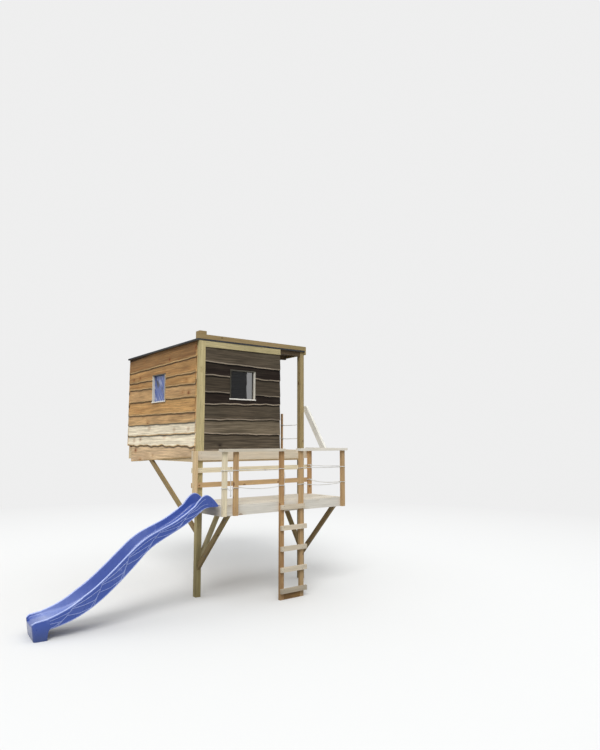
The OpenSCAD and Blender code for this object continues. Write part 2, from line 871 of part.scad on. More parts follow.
corner_post();
porch_post();
front_floor_beam();
left_floor_beam();
inner_floor_beam();
porch_side_beam();
back_floor_beam();
floor_joists();
cabin_floor();
porch_floor();
left_wall();
front_wall();
back_wall();
door_side_wall();
rear_side_wall();
over_door_wall();
corner_board();
front_plate_board();
left_window_frame();
front_window_frame();
window_panes();
rafters();
roof_boards();
roof_covering();
roof_front_edge();
roof_right_edge();
deck_boards();
deck_fascia();
deck_end_boards();
deck_back_beam();
deck_joists();
front_rail_posts();
back_rail_posts();
left_handrail();
right_handrail();
back_top_rail();
back_slim_rails();
end_handrail();
ladder_sides();
ladder_rungs();
ladder_foot_board();
knee_braces();
diagonal_rail();
porch_rail_posts();
ropes();
slide();
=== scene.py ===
# %% [markdown]
# # Dressing a boarded tree house
# A finished CAD model comes in as a fixed frame: posts, floor, walls, roof, deck, ladder and
# slide, all in metres and all in their real place. This lesson gives each of them the surface
# of the real thing: sawn and weathered timber, waney cladding, twisted rope, moulded plastic,
# felt and glass. Nothing is moved. Each finished piece lies where its CAD solid lies.

# %% Load the frame
import math
import random

import bmesh
import bpy
from mathutils import Matrix, Vector, noise


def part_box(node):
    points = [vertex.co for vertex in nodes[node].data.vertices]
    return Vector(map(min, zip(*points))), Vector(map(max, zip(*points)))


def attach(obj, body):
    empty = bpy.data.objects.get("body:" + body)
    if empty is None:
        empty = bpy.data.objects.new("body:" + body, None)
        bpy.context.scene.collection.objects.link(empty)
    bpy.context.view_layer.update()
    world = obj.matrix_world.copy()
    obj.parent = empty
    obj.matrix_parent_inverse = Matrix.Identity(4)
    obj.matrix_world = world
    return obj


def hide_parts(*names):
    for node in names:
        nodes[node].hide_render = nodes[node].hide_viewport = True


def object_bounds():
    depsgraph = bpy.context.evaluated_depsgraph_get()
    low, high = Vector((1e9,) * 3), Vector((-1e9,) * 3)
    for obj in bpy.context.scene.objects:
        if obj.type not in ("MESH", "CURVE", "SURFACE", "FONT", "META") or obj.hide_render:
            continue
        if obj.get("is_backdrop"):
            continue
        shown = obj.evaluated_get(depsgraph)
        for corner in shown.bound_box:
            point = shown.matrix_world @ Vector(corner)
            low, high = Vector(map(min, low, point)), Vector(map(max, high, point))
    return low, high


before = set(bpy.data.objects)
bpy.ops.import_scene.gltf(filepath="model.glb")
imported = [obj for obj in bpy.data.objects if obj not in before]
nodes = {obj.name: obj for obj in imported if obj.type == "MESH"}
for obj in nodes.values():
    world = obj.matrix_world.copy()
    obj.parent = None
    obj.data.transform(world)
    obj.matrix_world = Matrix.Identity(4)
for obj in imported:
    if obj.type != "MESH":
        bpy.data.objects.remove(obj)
cad_low, cad_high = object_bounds()
print("CAD nodes:", len(nodes), "size:", [round(v, 3) for v in cad_high - cad_low])


def new_object(name, data):
    """An object in the scene that carries some data."""
    thing = bpy.data.objects.new(name, data)
    bpy.context.scene.collection.objects.link(thing)
    return thing


# %% [markdown]
# ## The camera
# The photograph was taken about nine and a half metres from the corner post, and 2.4 metres
# above its foot. The camera stands at that place, looks slightly up, and has the photograph's
# focal length: 600 pixels on a picture 750 pixels high.

# %% Camera
EYE = Vector((-4.709, -8.365, 2.36))
LOOK = Vector((0.627, 0.779, 0.0)).normalized()
LOOK_UP = math.radians(6.28)
SENSOR = 36.0
FOCAL_SHARE = 600 / 750

camera = new_object("camera", bpy.data.cameras.new("camera"))
camera.data.sensor_width = SENSOR
camera.data.lens = SENSOR * FOCAL_SHARE
camera.location = EYE
camera.rotation_euler = (math.pi / 2 + LOOK_UP, 0, -math.atan2(LOOK.x, LOOK.y))
bpy.context.scene.camera = camera
print("Camera lens:", round(camera.data.lens, 1), "mm")

# %% [markdown]
# ## Places from the frame
# Nearly every place below comes from the boxes of the CAD nodes, so the pieces fit without trying.

# %% Main places
POST_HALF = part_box("corner_post")[1].x
FRONT_Y = -POST_HALF
CABIN_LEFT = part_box("cabin_floor")[0].x
CABIN_RIGHT, CABIN_BACK, FLOOR_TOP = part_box("cabin_floor")[1]
PLATE_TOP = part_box("corner_board")[1].z
CLAD_T = FRONT_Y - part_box("corner_board")[0].y
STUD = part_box("left_wall")[1].x - CABIN_LEFT
ROOF_FALL = math.radians(1)
print("Cabin:", round(CABIN_RIGHT - CABIN_LEFT, 3), "by", round(CABIN_BACK - FRONT_Y, 3))

# %% [markdown]
# ## Helpers for node trees
# Materials and Geometry Nodes are both built from nodes and links. One small function adds a
# node, sets the values that it is given and links the sockets that it is given. A second one
# turns the colour that an eye sees, in steps of 255, into the linear colour that Blender uses.

# %% Node helpers
def add(tree, kind, inputs=None, **settings):
    """Adds a node: sockets given for its inputs are linked, and other values are set."""
    node = tree.nodes.new(kind)
    for name, value in settings.items():
        setattr(node, name, value)
    for name, value in (inputs or {}).items():
        if isinstance(value, bpy.types.NodeSocket):
            tree.links.new(value, node.inputs[name])
        else:
            node.inputs[name].default_value = value
    return node


def seen(red, green, blue):
    """A colour as an eye reads it, in steps of 255, made linear for Blender."""
    shares = [v / 255 for v in (red, green, blue)]
    return (*(v / 12.92 if v < 0.04045 else ((v + 0.055) / 1.055) ** 2.4 for v in shares), 1.0)


def math_node(tree, operation, *values):
    """One arithmetic node, from sockets or plain numbers."""
    return add(tree, "ShaderNodeMath", dict(enumerate(values)), operation=operation).outputs[0]


def times(tree, value, factor, plus=None):
    """A value times another one, with a third one added where it is given."""
    if plus is None:
        return math_node(tree, "MULTIPLY", value, factor)
    return math_node(tree, "MULTIPLY_ADD", value, factor, plus)


def vector_node(tree, operation, *values):
    """One vector arithmetic node."""
    return add(tree, "ShaderNodeVectorMath", dict(enumerate(values)), operation=operation).outputs[0]


def scaled(tree, vector, factor):
    """A vector or a colour times a number."""
    return add(tree, "ShaderNodeVectorMath", {0: vector, "Scale": factor}, operation="SCALE").outputs[0]


def attribute(tree, name):
    """A number that every point of the mesh carries."""
    return add(tree, "ShaderNodeAttribute", attribute_name=name).outputs["Fac"]


def blend_colour(tree, share, first, second):
    """Mixes two colours by a share from 0 to 1."""
    node = add(tree, "ShaderNodeMix", {0: share, 6: first, 7: second}, data_type="RGBA")
    return node.outputs[2]


def spread(tree, value, low, high, first=0.0, last=1.0):
    """Maps a value from one range to another, and holds it there."""
    inputs = {"Value": value, "From Min": low, "From Max": high, "To Min": first, "To Max": last}
    return add(tree, "ShaderNodeMapRange", inputs, clamp=True).outputs[0]


def cloud(tree, place, scale, detail=3.0, rough=0.55):
    """A soft noise with values from 0 to 1, stretched by a scale along each axis."""
    stretched = vector_node(tree, "MULTIPLY", place, scale)
    inputs = {"Vector": stretched, "Scale": 1.0, "Detail": detail, "Roughness": rough}
    return add(tree, "ShaderNodeTexNoise", inputs).outputs[0]


def object_place(tree):
    """The place of a point in the object's own coordinates."""
    return add(tree, "ShaderNodeTexCoord").outputs["Object"]


def axis_of(tree, vector, axis):
    """One coordinate of a vector, by its letter."""
    return add(tree, "ShaderNodeSeparateXYZ", {0: vector}).outputs[axis]


print("Node helpers ready")

# %% Material helpers
LOOKS = {}


def new_material(name, **sockets):
    """A material whose plain numbers are set on its own shader, kept in LOOKS by its name."""
    LOOKS[name] = material = bpy.data.materials.new(name)
    material.use_nodes = True
    shader = material.node_tree.nodes["Principled BSDF"]
    for socket, value in sockets.items():
        shader.inputs[socket.replace("_", " ")].default_value = value
    return material.node_tree, shader


def finish_material(tree, shader, colour, rough=None, height=None, strength=0.5, distance=0.001):
    """Links a colour to a shader and, where they are given, a roughness and a height for bump."""
    tree.links.new(colour, shader.inputs["Base Color"])
    if rough is not None:
        tree.links.new(rough, shader.inputs["Roughness"])
    if height is not None:
        bump = add(tree, "ShaderNodeBump", {"Strength": strength, "Distance": distance, "Height": height})
        tree.links.new(bump.outputs[0], shader.inputs["Normal"])


def paint_node(node, look):
    """Gives a CAD node that keeps its own shape a better material."""
    nodes[node].data.materials.clear()
    nodes[node].data.materials.append(LOOKS[look])


print("Material helpers ready")

# %% [markdown]
# ## Timber as a solid texture
# A sawn board is cut from a log, so its pattern is one pattern all through: rings on the end,
# long flames on the faces. The material works the same way. Every board carries an attribute
# named grain, its own coordinates with the first one along the fibres, and a random number
# named tone that moves the pattern so that no two boards are alike. Rings are the distance
# from a pith line beside the board, knots come from a cell pattern, and fine fibres from a
# noise stretched about fifty times along the board. Four more attributes choose a lighter
# board (pale), an orange-brown one full of knots whose deeper tone is also painted shade on
# some boards (warm_and_shade), the natural edge of a waney board (wane), and painted shade: a
# dark band just below the edge of the board above, where a board goes behind it (lap_shade).

# %% Timber material
RING = 0.0075
FIBRES = (5.0, 230.0, 230.0)
STREAKS = (0.9, 11.0, 11.0)
LINES = (1.8, 48.0, 48.0)
PATCHES = (1.6, 5.0, 5.0)
TONE_SHIFT = (31.7, 17.3, 11.9)
KNOT_SHAPE = (0.7, 1.0, 1.0)
KNOT_EDGE = (70.0, 90.0, 90.0)
KNOT_RING = 0.035


def ring_pattern(tree, grain, tone, streak, swirl):
    """Growth rings: the distance from a pith line beside the board, bent by streaks and knots."""
    beside = times(tree, tone, 0.16, -0.08)
    pith = add(tree, "ShaderNodeCombineXYZ", {"Y": beside, "Z": 0.035}).outputs[0]
    across = vector_node(tree, "MULTIPLY", vector_node(tree, "SUBTRACT", grain, pith), (0.02, 1.0, 1.0))
    reach = add(tree, "ShaderNodeVectorMath", {0: across}, operation="LENGTH").outputs["Value"]
    reach = times(tree, streak, 0.05, reach)
    reach = times(tree, swirl, 0.014, reach)
    ring = math_node(tree, "SINE", times(tree, reach, 2 * math.pi / RING))
    return spread(tree, ring, -0.4, 1.0)


def knot_pattern(tree, place, knots, few):
    """Knots, their own rings and the swirl of grain round them, in some cells of a cell pattern."""
    drawn_out = vector_node(tree, "MULTIPLY", place, KNOT_SHAPE)
    cells = add(tree, "ShaderNodeTexVoronoi", {"Vector": drawn_out, "Scale": knots})
    chance = add(tree, "ShaderNodeSeparateXYZ", {0: cells.outputs["Color"]})
    chosen = math_node(tree, "GREATER_THAN", chance.outputs["X"], few)
    size = times(tree, few, -0.1, 0.13)
    size = times(tree, chance.outputs["Y"], 0.14, size)
    uneven = cloud(tree, place, KNOT_EDGE, 2.0)
    reach = times(tree, uneven, 0.09, cells.outputs["Distance"])
    reach = math_node(tree, "SUBTRACT", reach, 0.045)
    core = spread(tree, reach, times(tree, size, 0.7), size, 1.0, 0.0)
    rings = math_node(tree, "SINE", times(tree, reach, 2 * math.pi / KNOT_RING))
    core = times(tree, core, spread(tree, rings, -1.0, 1.0, 0.55, 1.0))
    swirl = spread(tree, reach, size, times(tree, size, 2.6), 1.0, 0.0)
    return times(tree, core, chosen), times(tree, swirl, chosen)


def timber_material(name, early, late, pale, warm_and_shade, knot, edge, stain, stained=0.3, knots=8.0,
                    knotty=0.35, fibre=0.22, lined=0.12, streaky=0.65, damp_and_shade=0.6, damp_and_shade_height=0.35,
                    gloss=0.25):
    """Sawn wood with rings, fibres, knots, streaks, a waney edge, and a darker foot: dampness, and painted
    shade where it reaches up under the deck.
    """
    colours = (early, late, pale, warm_and_shade, knot, edge, stain)
    early, late, pale, warm_and_shade, knot, edge, stain = (seen(*colour) for colour in colours)
    tree, shader = new_material(name, Specular_IOR_Level=gloss)
    grain = add(tree, "ShaderNodeAttribute", attribute_name="grain").outputs["Vector"]
    tone = attribute(tree, "tone")
    warm_and_shade_share = attribute(tree, "warm_and_shade")
    moved = vector_node(tree, "ADD", grain, scaled(tree, TONE_SHIFT, tone))
    streak = cloud(tree, moved, STREAKS, 5.0, 0.62)
    lines = cloud(tree, moved, LINES, 3.0, 0.6)
    patch = cloud(tree, moved, PATCHES, 2.0)
    fine = cloud(tree, moved, FIBRES, 2.0)
    few = times(tree, warm_and_shade_share, -0.45, 1.0 - knotty)
    core, swirl = knot_pattern(tree, moved, knots, few)
    ring = ring_pattern(tree, grain, tone, streak, swirl)
    body = blend_colour(tree, times(tree, ring, 0.55), early, late)
    body = blend_colour(tree, spread(tree, streak, 0.46, 0.64, 0.0, streaky), body, late)
    light = blend_colour(tree, times(tree, ring, 0.2), pale, early)
    body = blend_colour(tree, attribute(tree, "pale"), body, light)
    deep = blend_colour(tree, times(tree, ring, 0.4), warm_and_shade, late)
    body = blend_colour(tree, warm_and_shade_share, body, deep)
    clean = times(tree, attribute(tree, "pale"), -0.85, 1.0)
    smudge = times(tree, spread(tree, patch, 0.5, 0.72, 0.0, stained), clean)
    body = blend_colour(tree, smudge, body, stain)
    body = blend_colour(tree, times(tree, swirl, 0.45), body, late)
    body = blend_colour(tree, times(tree, core, 0.9), body, knot)
    body = blend_colour(tree, attribute(tree, "wane"), body, edge)
    shade = math_node(tree, "FRACT", times(tree, tone, 37.0))
    shade = times(tree, shade, 0.2, 0.88)
    # Painted shade: a dark band on a cladding board just below the edge of the board above.
    shade = times(tree, shade, times(tree, attribute(tree, "lap_shade"), -0.82, 1.0))
    shade = times(tree, shade, spread(tree, fine, 0.3, 0.7, 1.0 - fibre, 1.0 + fibre * 0.5))
    shade = times(tree, shade, spread(tree, lines, 0.35, 0.65, 1.0 - lined, 1.0 + lined * 0.9))
    # Darker towards the foot: dampness near the ground, and on the posts, braces and ladder up to 1.2 m
    # painted shade under the deck.
    height = times(tree, patch, -0.3, axis_of(tree, object_place(tree), "Z"))
    shade = times(tree, shade, spread(tree, height, -0.1, damp_and_shade_height, damp_and_shade, 1.0))
    relief = times(tree, core, 0.8, times(tree, ring, -0.35, fine))
    finish_material(tree, shader, scaled(tree, body, shade), spread(tree, fine, 0.2, 0.8, 0.62, 0.86),
                    relief, 0.35, 0.0008)


# The treated posts and the rail timber darken up to 1.2 m: painted shade under the deck.
timber_material(
    "treated_post", early=(202, 186, 136), late=(168, 148, 98), pale=(226, 212, 168),
    warm_and_shade=(160, 134, 96), knot=(108, 80, 50), edge=(190, 180, 120),
    stain=(156, 146, 100), stained=0.45, knots=7.0, knotty=0.25, damp_and_shade=0.62, damp_and_shade_height=1.2)
timber_material(
    "new_board", early=(226, 217, 200), late=(208, 195, 170), pale=(236, 231, 220),
    warm_and_shade=(214, 184, 142), knot=(150, 112, 78), edge=(224, 214, 192),
    stain=(210, 203, 188), stained=0.4, knots=6.0, knotty=0.3, fibre=0.12, lined=0.08, streaky=0.4)
timber_material(
    "rail_timber", early=(234, 212, 170), late=(208, 172, 122), pale=(242, 230, 200),
    warm_and_shade=(182, 140, 96), knot=(92, 48, 26), edge=(220, 196, 150),
    stain=(226, 192, 142), stained=0.5, knots=8.5, knotty=0.35, fibre=0.15, damp_and_shade=0.66, damp_and_shade_height=1.2)
timber_material(
    "white_board", early=(236, 234, 226), late=(220, 214, 200), pale=(240, 238, 230),
    warm_and_shade=(214, 200, 172), knot=(186, 166, 138), edge=(224, 218, 204),
    stain=(228, 225, 214), stained=0.3, knots=4.0, knotty=0.15, fibre=0.1)
# Dark brown for the rafters and roof boards: painted shade for the underside of the roof.
timber_material(
    "rafter_timber", early=(104, 87, 64), late=(72, 57, 40), pale=(150, 128, 96),
    warm_and_shade=(108, 80, 56), knot=(70, 48, 32), edge=(140, 120, 90),
    stain=(80, 70, 56), stained=0.6, knots=8.0, knotty=0.3, fibre=0.15)
print("Timber materials:", list(LOOKS))

# %% [markdown]
# The cladding needs its own colours. The side boards are orange-brown larch with cream boards
# below, and the front boards have weathered to a dark grey-brown with a pale strip of sapwood
# along each natural edge. The board at the ladder's foot is an old brown one.

# %% Cladding materials
timber_material(
    "warm_cladding", early=(219, 174, 113), late=(156, 105, 57), pale=(255, 243, 216),
    warm_and_shade=(132, 98, 62), knot=(112, 52, 26), edge=(232, 196, 142),
    stain=(142, 104, 66), stained=0.45, knots=6.0, knotty=0.35, fibre=0.2, lined=0.28, streaky=0.6)
timber_material(
    "grey_cladding", early=(70, 60, 51), late=(38, 32, 28), pale=(138, 125, 104),
    warm_and_shade=(48, 39, 34), knot=(30, 24, 20), edge=(200, 184, 164),
    stain=(82, 76, 64), stained=0.4, knots=5.0, knotty=0.2, fibre=0.3, lined=0.4, streaky=0.9, gloss=0.08)
timber_material(
    "weathered_board", early=(188, 147, 92), late=(136, 98, 60), pale=(200, 168, 124),
    warm_and_shade=(150, 100, 64), knot=(90, 54, 34), edge=(130, 100, 70),
    stain=(146, 112, 74), stained=0.6, knots=7.0, knotty=0.5, fibre=0.3)
print("Materials so far:", len(LOOKS))

# %% [markdown]
# ## Boards as meshes
# A board is a box with eased edges. Sawn timber never has a knife edge, and the small bevel
# catches a line of light that shows one board from the next. Each board is made in a bmesh of
# its own, marked with its grain, and poured into the bmesh of its piece. A piece gets the
# material of its look.

# %% Board helpers
EASE = 0.0025
SHARP = 0.5
SHARES = ("tone", "pale", "warm_and_shade", "wane", "lap_shade")
AXES = {"X": Vector((1, 0, 0)), "Y": Vector((0, 1, 0)), "Z": Vector((0, 0, 1))}
draw = random.Random(11)


def new_timber():
    """An empty bmesh with the layers that the timber materials read."""
    bm = bmesh.new()
    bm.verts.layers.float_vector.new("grain")
    for share in SHARES:
        bm.verts.layers.float.new(share)
    return bm


def mark_grain(bm, along, across, pale=0.0, warm_and_shade=0.0, number=None, centre=None):
    """Gives a board its own coordinates, with the fibres along the first one."""
    grain = bm.verts.layers.float_vector["grain"]
    tone, light, warm_and_shade_layer = (bm.verts.layers.float[share] for share in ("tone", "pale", "warm_and_shade"))
    centre = centre or sum((v.co for v in bm.verts), Vector()) / len(bm.verts)
    thick = along.cross(across)
    number = draw.random() if number is None else number
    for v in bm.verts:
        place = v.co - centre
        v[grain] = (place.dot(along), place.dot(across), place.dot(thick))
        v[tone] = number
        v[light] = pale
        v[warm_and_shade_layer] = warm_and_shade


def ease(bm, width=EASE):
    """Rounds every sharp edge a little."""
    sharp = [e for e in bm.edges if len(e.link_faces) == 2 and e.calc_face_angle() > SHARP]
    bmesh.ops.bevel(bm, geom=sharp, offset=width, segments=2, profile=0.5, affect="EDGES",
                    clamp_overlap=True)


def mesh_from(bm, name):
    """Turns a bmesh into a mesh and frees it."""
    mesh = bpy.data.meshes.new(name)
    bm.to_mesh(mesh)
    bm.free()
    return mesh


def join_mesh(bm, mesh):
    """Adds a mesh to a bmesh and removes it."""
    bm.from_mesh(mesh)
    bpy.data.meshes.remove(mesh)


def pour(part, whole):
    """Adds one bmesh to another and frees it."""
    join_mesh(whole, mesh_from(part, "part"))


def fill_box(bm, low, high):
    """Makes a cube and fits it between two corners."""
    bmesh.ops.create_cube(bm, size=1.0)
    size = high - low
    for v in bm.verts:
        v.co = low + Vector([(v.co[i] + 0.5) * size[i] for i in range(3)])


def add_board(whole, low, high, along, pale=0.0, warm_and_shade=0.0, worn=0.0, width=EASE):
    """A sawn board between two corners, its fibres along X, Y or Z."""
    low, high = Vector(low), Vector(high)
    part = new_timber()
    fill_box(part, low, high)
    ease(part, width)
    across = max((a for a in AXES if a != along), key=lambda a: (high - low)["XYZ".index(a)])
    mark_grain(part, AXES[along], AXES[across], pale, warm_and_shade)
    wane = part.verts.layers.float["wane"]
    for v in part.verts:
        v[wane] = worn
    pour(part, whole)


def make_piece(name, bm, look, *replaced):
    """Turns a bmesh into a piece that rides on the body and, where one is named, stands for a CAD node."""
    piece = new_object(name, mesh_from(bm, name))
    piece.data.materials.append(LOOKS[look])
    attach(piece, "root")
    if replaced:
        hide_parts(*replaced)
    print(name, len(piece.data.polygons), "faces")


print("Board helpers ready")

# %% [markdown]
# ## Posts, beams, rails and braces
# These CAD solids already have their right shape, so their own geometry is used. Their loose
# triangles are joined to flat faces, each separate solid becomes a board, and its longest edge
# gives the direction of the grain. This suits a leaning brace as well as an upright post.

# %% Timber from CAD solids
def solids_of(node):
    """Each separate solid of a CAD node as a bmesh of its own."""
    whole = bmesh.new()
    whole.from_mesh(nodes[node].data)
    bmesh.ops.remove_doubles(whole, verts=whole.verts, dist=1e-5)
    bmesh.ops.dissolve_limit(whole, angle_limit=math.radians(1), verts=whole.verts, edges=whole.edges)
    whole.verts.index_update()
    owner = {}
    count = 0
    for first in whole.verts:
        stack = [first] if first.index not in owner else []
        count += len(stack)
        while stack:
            v = stack.pop()
            if v.index not in owner:
                owner[v.index] = count
                stack += [e.other_vert(v) for e in v.link_edges]
    for number in range(1, count + 1):
        part = new_timber()
        made = {v.index: part.verts.new(v.co) for v in whole.verts if owner[v.index] == number}
        for face in whole.faces:
            if owner[face.verts[0].index] == number:
                part.faces.new([made[v.index] for v in face.verts])
        yield part
    whole.free()


def long_edges(bm):
    """The direction of the longest edge, and of the longest edge square to it."""
    edges = sorted((e.verts[1].co - e.verts[0].co for e in bm.edges), key=lambda d: d.length)
    along = edges[-1].normalized()
    across = next(d for d in reversed(edges) if abs(d.normalized().dot(along)) < 0.2)
    return along, (across - along * across.dot(along)).normalized()


def place_of(bm):
    """The middle of a bmesh, which puts the boards of a node in order."""
    middle = sum((v.co for v in bm.verts), Vector()) / len(bm.verts)
    return tuple(round(value, 3) for value in middle)


def timber_piece(node, look, pale=(0.0,), warm_and_shade=(0.0,)):
    """A piece with eased edges and marked grain from every solid of a CAD node, from left to right."""
    bm = new_timber()
    for number, part in enumerate(sorted(solids_of(node), key=place_of)):
        along, across = long_edges(part)
        ease(part)
        mark_grain(part, along, across, pale[number % len(pale)], warm_and_shade[number % len(warm_and_shade)])
        pour(part, bm)
    make_piece(node + "_timber", bm, look, node)


# %% [markdown]
# The timber was bought at different times, and no two boards match. The tall posts and the
# trim under the roof are green-yellow and pressure-treated, the deck's boards are pale and new,
# and some rail posts and the ladder's sides are orange and full of knots. Each list below names
# how pale each board of a node is and how much of the deeper orange-brown tone it has, from
# left to right. On the knee braces and the porch post that deeper tone is painted shade.

# %% Dressed timber
timber_piece("corner_post", "treated_post", pale=(0.15,))
timber_piece("corner_board", "treated_post", pale=(0.3,))
# Painted shade: the porch post takes part of the deep tone for the shade it stands in.
timber_piece("porch_post", "treated_post", warm_and_shade=(0.6,))
# Painted shade: all braces but the third, which stand in the shade under the deck, take the deep tone.
timber_piece("knee_braces", "treated_post",
             pale=(0.0, 0.0, 0.9, 0.0, 0.0), warm_and_shade=(0.9, 0.8, 0.0, 0.9, 1.0))
timber_piece("front_plate_board", "treated_post", pale=(0.4,))
timber_piece("roof_front_edge", "treated_post", warm_and_shade=(0.85,))
timber_piece("roof_right_edge", "treated_post", warm_and_shade=(0.6,))
timber_piece("deck_fascia", "new_board", pale=(0.9,))
for node in ("deck_end_boards", "left_handrail"):
    timber_piece(node, "new_board", pale=(0.0, 0.5, 0.2))
timber_piece("ladder_rungs", "new_board", warm_and_shade=(0.25, 0.3, 0.25))
for node in ("right_handrail", "end_handrail"):
    timber_piece(node, "new_board", pale=(0.8,))
for node in ("front_floor_beam", "left_floor_beam", "inner_floor_beam", "porch_side_beam",
             "back_floor_beam", "floor_joists", "deck_back_beam", "deck_joists"):
    timber_piece(node, "rail_timber", pale=(0.2, 0.0, 0.4), warm_and_shade=(0.0, 0.3, 0.0))
# The rafters take the dark material: painted shade under the roof.
timber_piece("rafters", "rafter_timber")
timber_piece("back_top_rail", "new_board", warm_and_shade=(0.3,))
timber_piece("back_slim_rails", "rail_timber", pale=(0.0, 0.9), warm_and_shade=(0.6, 0.0))
timber_piece("front_rail_posts", "rail_timber", pale=(0.9, 0.0, 0.0), warm_and_shade=(0.0, 0.75, 0.65))
timber_piece("back_rail_posts", "rail_timber", pale=(0.2, 0.3), warm_and_shade=(0.15, 1.0))
timber_piece("ladder_sides", "rail_timber", warm_and_shade=(1.0, 0.6))
timber_piece("diagonal_rail", "white_board")
timber_piece("porch_rail_posts", "rail_timber", warm_and_shade=(0.9,))
timber_piece("ladder_foot_board", "weathered_board")

# %% [markdown]
# ## Rows of planks
# Deck, floors and roof are solid slabs in the CAD model. The real ones are rows of planks with
# a gap between them. A row is the same plank again and again, which is what Geometry Nodes are
# for: a line of points, a plank on each point, a small random shift, and a random tone for the
# material. The tree ends in Realize Instances and Set Material, so the export sees a mesh.

# %% A node group that lays a row of planks
def group(name, *sockets):
    """A geometry node group with named inputs after its geometry."""
    tree = bpy.data.node_groups.new(name, "GeometryNodeTree")
    tree.interface.new_socket("Geometry", in_out="INPUT", socket_type="NodeSocketGeometry")
    for label, kind in sockets:
        tree.interface.new_socket(label, in_out="INPUT", socket_type="NodeSocket" + kind)
    tree.interface.new_socket("Geometry", in_out="OUTPUT", socket_type="NodeSocketGeometry")
    return tree, tree.nodes.new("NodeGroupInput").outputs


def close_group(tree, geometry, material):
    """Ends a group in real geometry with its material."""
    real = add(tree, "GeometryNodeRealizeInstances", {"Geometry": geometry})
    painted = add(tree, "GeometryNodeSetMaterial", {"Geometry": real.outputs[0], "Material": material})
    add(tree, "NodeGroupOutput", {"Geometry": painted.outputs[0]})


def run_group(tree, source, look, **values):
    """Runs a group on an object, removes the object and returns the plain mesh that comes out."""
    values["Material"] = LOOKS[look]
    modifier = source.modifiers.new(tree.name, "NODES")
    modifier.node_group = tree
    for item in tree.interface.items_tree:
        if item.in_out == "INPUT" and item.name in values:
            modifier[item.identifier] = values[item.name]
    source.update_tag()
    graph = bpy.context.evaluated_depsgraph_get()
    mesh = bpy.data.meshes.new_from_object(source.evaluated_get(graph))
    source.modifiers.remove(modifier)
    bpy.data.objects.remove(source)
    return mesh


def plank_row_group():
    """Lays one plank again and again along a pitch, each a little out of line."""
    tree, given = group("plank_row", ("Plank", "Object"), ("Rows", "Int"), ("Pitch", "Vector"),
                        ("Play", "Vector"), ("Seed", "Int"), ("Material", "Material"))
    line = add(tree, "GeometryNodeMeshLine", {"Count": given["Rows"], "Offset": given["Pitch"]})
    plank = add(tree, "GeometryNodeObjectInfo", {"Object": given["Plank"]})
    laid = add(tree, "GeometryNodeInstanceOnPoints",
               {"Points": line.outputs[0], "Instance": plank.outputs["Geometry"]})
    back = scaled(tree, given["Play"], -1.0)
    shift = add(tree, "FunctionNodeRandomValue", {0: back, 1: given["Play"], "Seed": given["Seed"]},
                data_type="FLOAT_VECTOR")
    moved = add(tree, "GeometryNodeTranslateInstances",
                {"Instances": laid.outputs[0], "Translation": shift.outputs[0]})
    tone = add(tree, "FunctionNodeRandomValue", {"Seed": given["Seed"]}, data_type="FLOAT")
    toned = add(tree, "GeometryNodeStoreNamedAttribute",
                {"Geometry": moved.outputs[0], "Name": "tone", "Value": tone.outputs[1]},
                data_type="FLOAT", domain="INSTANCE")
    close_group(tree, toned.outputs[0], given["Material"])
    return tree


PLAY = Vector((0.0004, 0.0004, 0.0004))
END_PLAY = 0.0012
plank_row = plank_row_group()


def lay_planks(low, high, along, width, gap, look, seed, pale=0.0):
    """Fills a slab's box with planks that run along X or Y. Returns a mesh."""
    low, high = Vector(low), Vector(high)
    side = "Y" if along == "X" else "X"
    room = (high - low).dot(AXES[side])
    rows = max(1, round(room / (width + gap)))
    pitch = room / rows
    first = high.copy()
    first["XYZ".index(side)] = low["XYZ".index(side)] + pitch - gap
    bm = new_timber()
    add_board(bm, low, first, along, pale)
    bm.verts.layers.float.remove(bm.verts.layers.float["tone"])
    plank = new_object("plank", mesh_from(bm, "plank"))
    line = new_object("plank_line", bpy.data.meshes.new("plank_line"))
    laid = run_group(plank_row, line, look, Plank=plank, Rows=rows, Pitch=AXES[side] * pitch,
                     Play=PLAY + AXES[along] * END_PLAY, Seed=seed)
    bpy.data.objects.remove(plank)
    return laid


# %% [markdown]
# The deck's planks run along the fascia, and a narrow last row is cut between the posts. The
# cabin's floor boards cross its joists, the porch has short boards of its own, and the roof
# boards run from front to back over the rafters. Where a post comes through, the row beside
# it is made by hand and the group fills the rest.

# %% Deck, floors and roof boards
DECK_PLANK = 0.115
FLOOR_PLANK = 0.12
ROOF_PLANK = 0.14
GAP = 0.005
TIGHT = 0.002


def slab_piece(node, look, along, width, gap, seed, start, cut=(), pale=0.0):
    """A row of planks in the box of a CAD slab from its start on, and boards cut by hand."""
    low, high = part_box(node)
    bm = new_timber()
    for first, last in cut:
        add_board(bm, (*first, low.z), (*last, high.z), along, pale)
    first, last = (*start[0], low.z), (*start[1], high.z)
    join_mesh(bm, lay_planks(first, last, along, width, gap, look, seed, pale))
    make_piece(node + "_planks", bm, look, node)


deck_low, deck_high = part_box("deck_boards")
porch_low, porch_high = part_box("porch_post")
porch_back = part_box("porch_floor")[1].y
slab_piece("deck_boards", "new_board", "X", DECK_PLANK, GAP, 3,
           (deck_low.xy, (deck_high.x, FRONT_Y)),
           [((deck_low.x, FRONT_Y), (-POST_HALF - TIGHT, deck_high.y)),
            ((POST_HALF + TIGHT, FRONT_Y), (porch_low.x - TIGHT, deck_high.y)),
            ((porch_high.x + TIGHT, FRONT_Y), (deck_high.x, deck_high.y))], pale=0.4)
slab_piece("cabin_floor", "rail_timber", "Y", FLOOR_PLANK, TIGHT, 5,
           ((POST_HALF, FRONT_Y), (CABIN_RIGHT, CABIN_BACK)),
           [((CABIN_LEFT, POST_HALF), (POST_HALF - TIGHT, CABIN_BACK))])
slab_piece("porch_floor", "rail_timber", "X", FLOOR_PLANK, GAP, 7,
           ((CABIN_RIGHT, POST_HALF), (porch_high.x, porch_back)),
           [((CABIN_RIGHT, FRONT_Y), (porch_low.x, POST_HALF - GAP))])

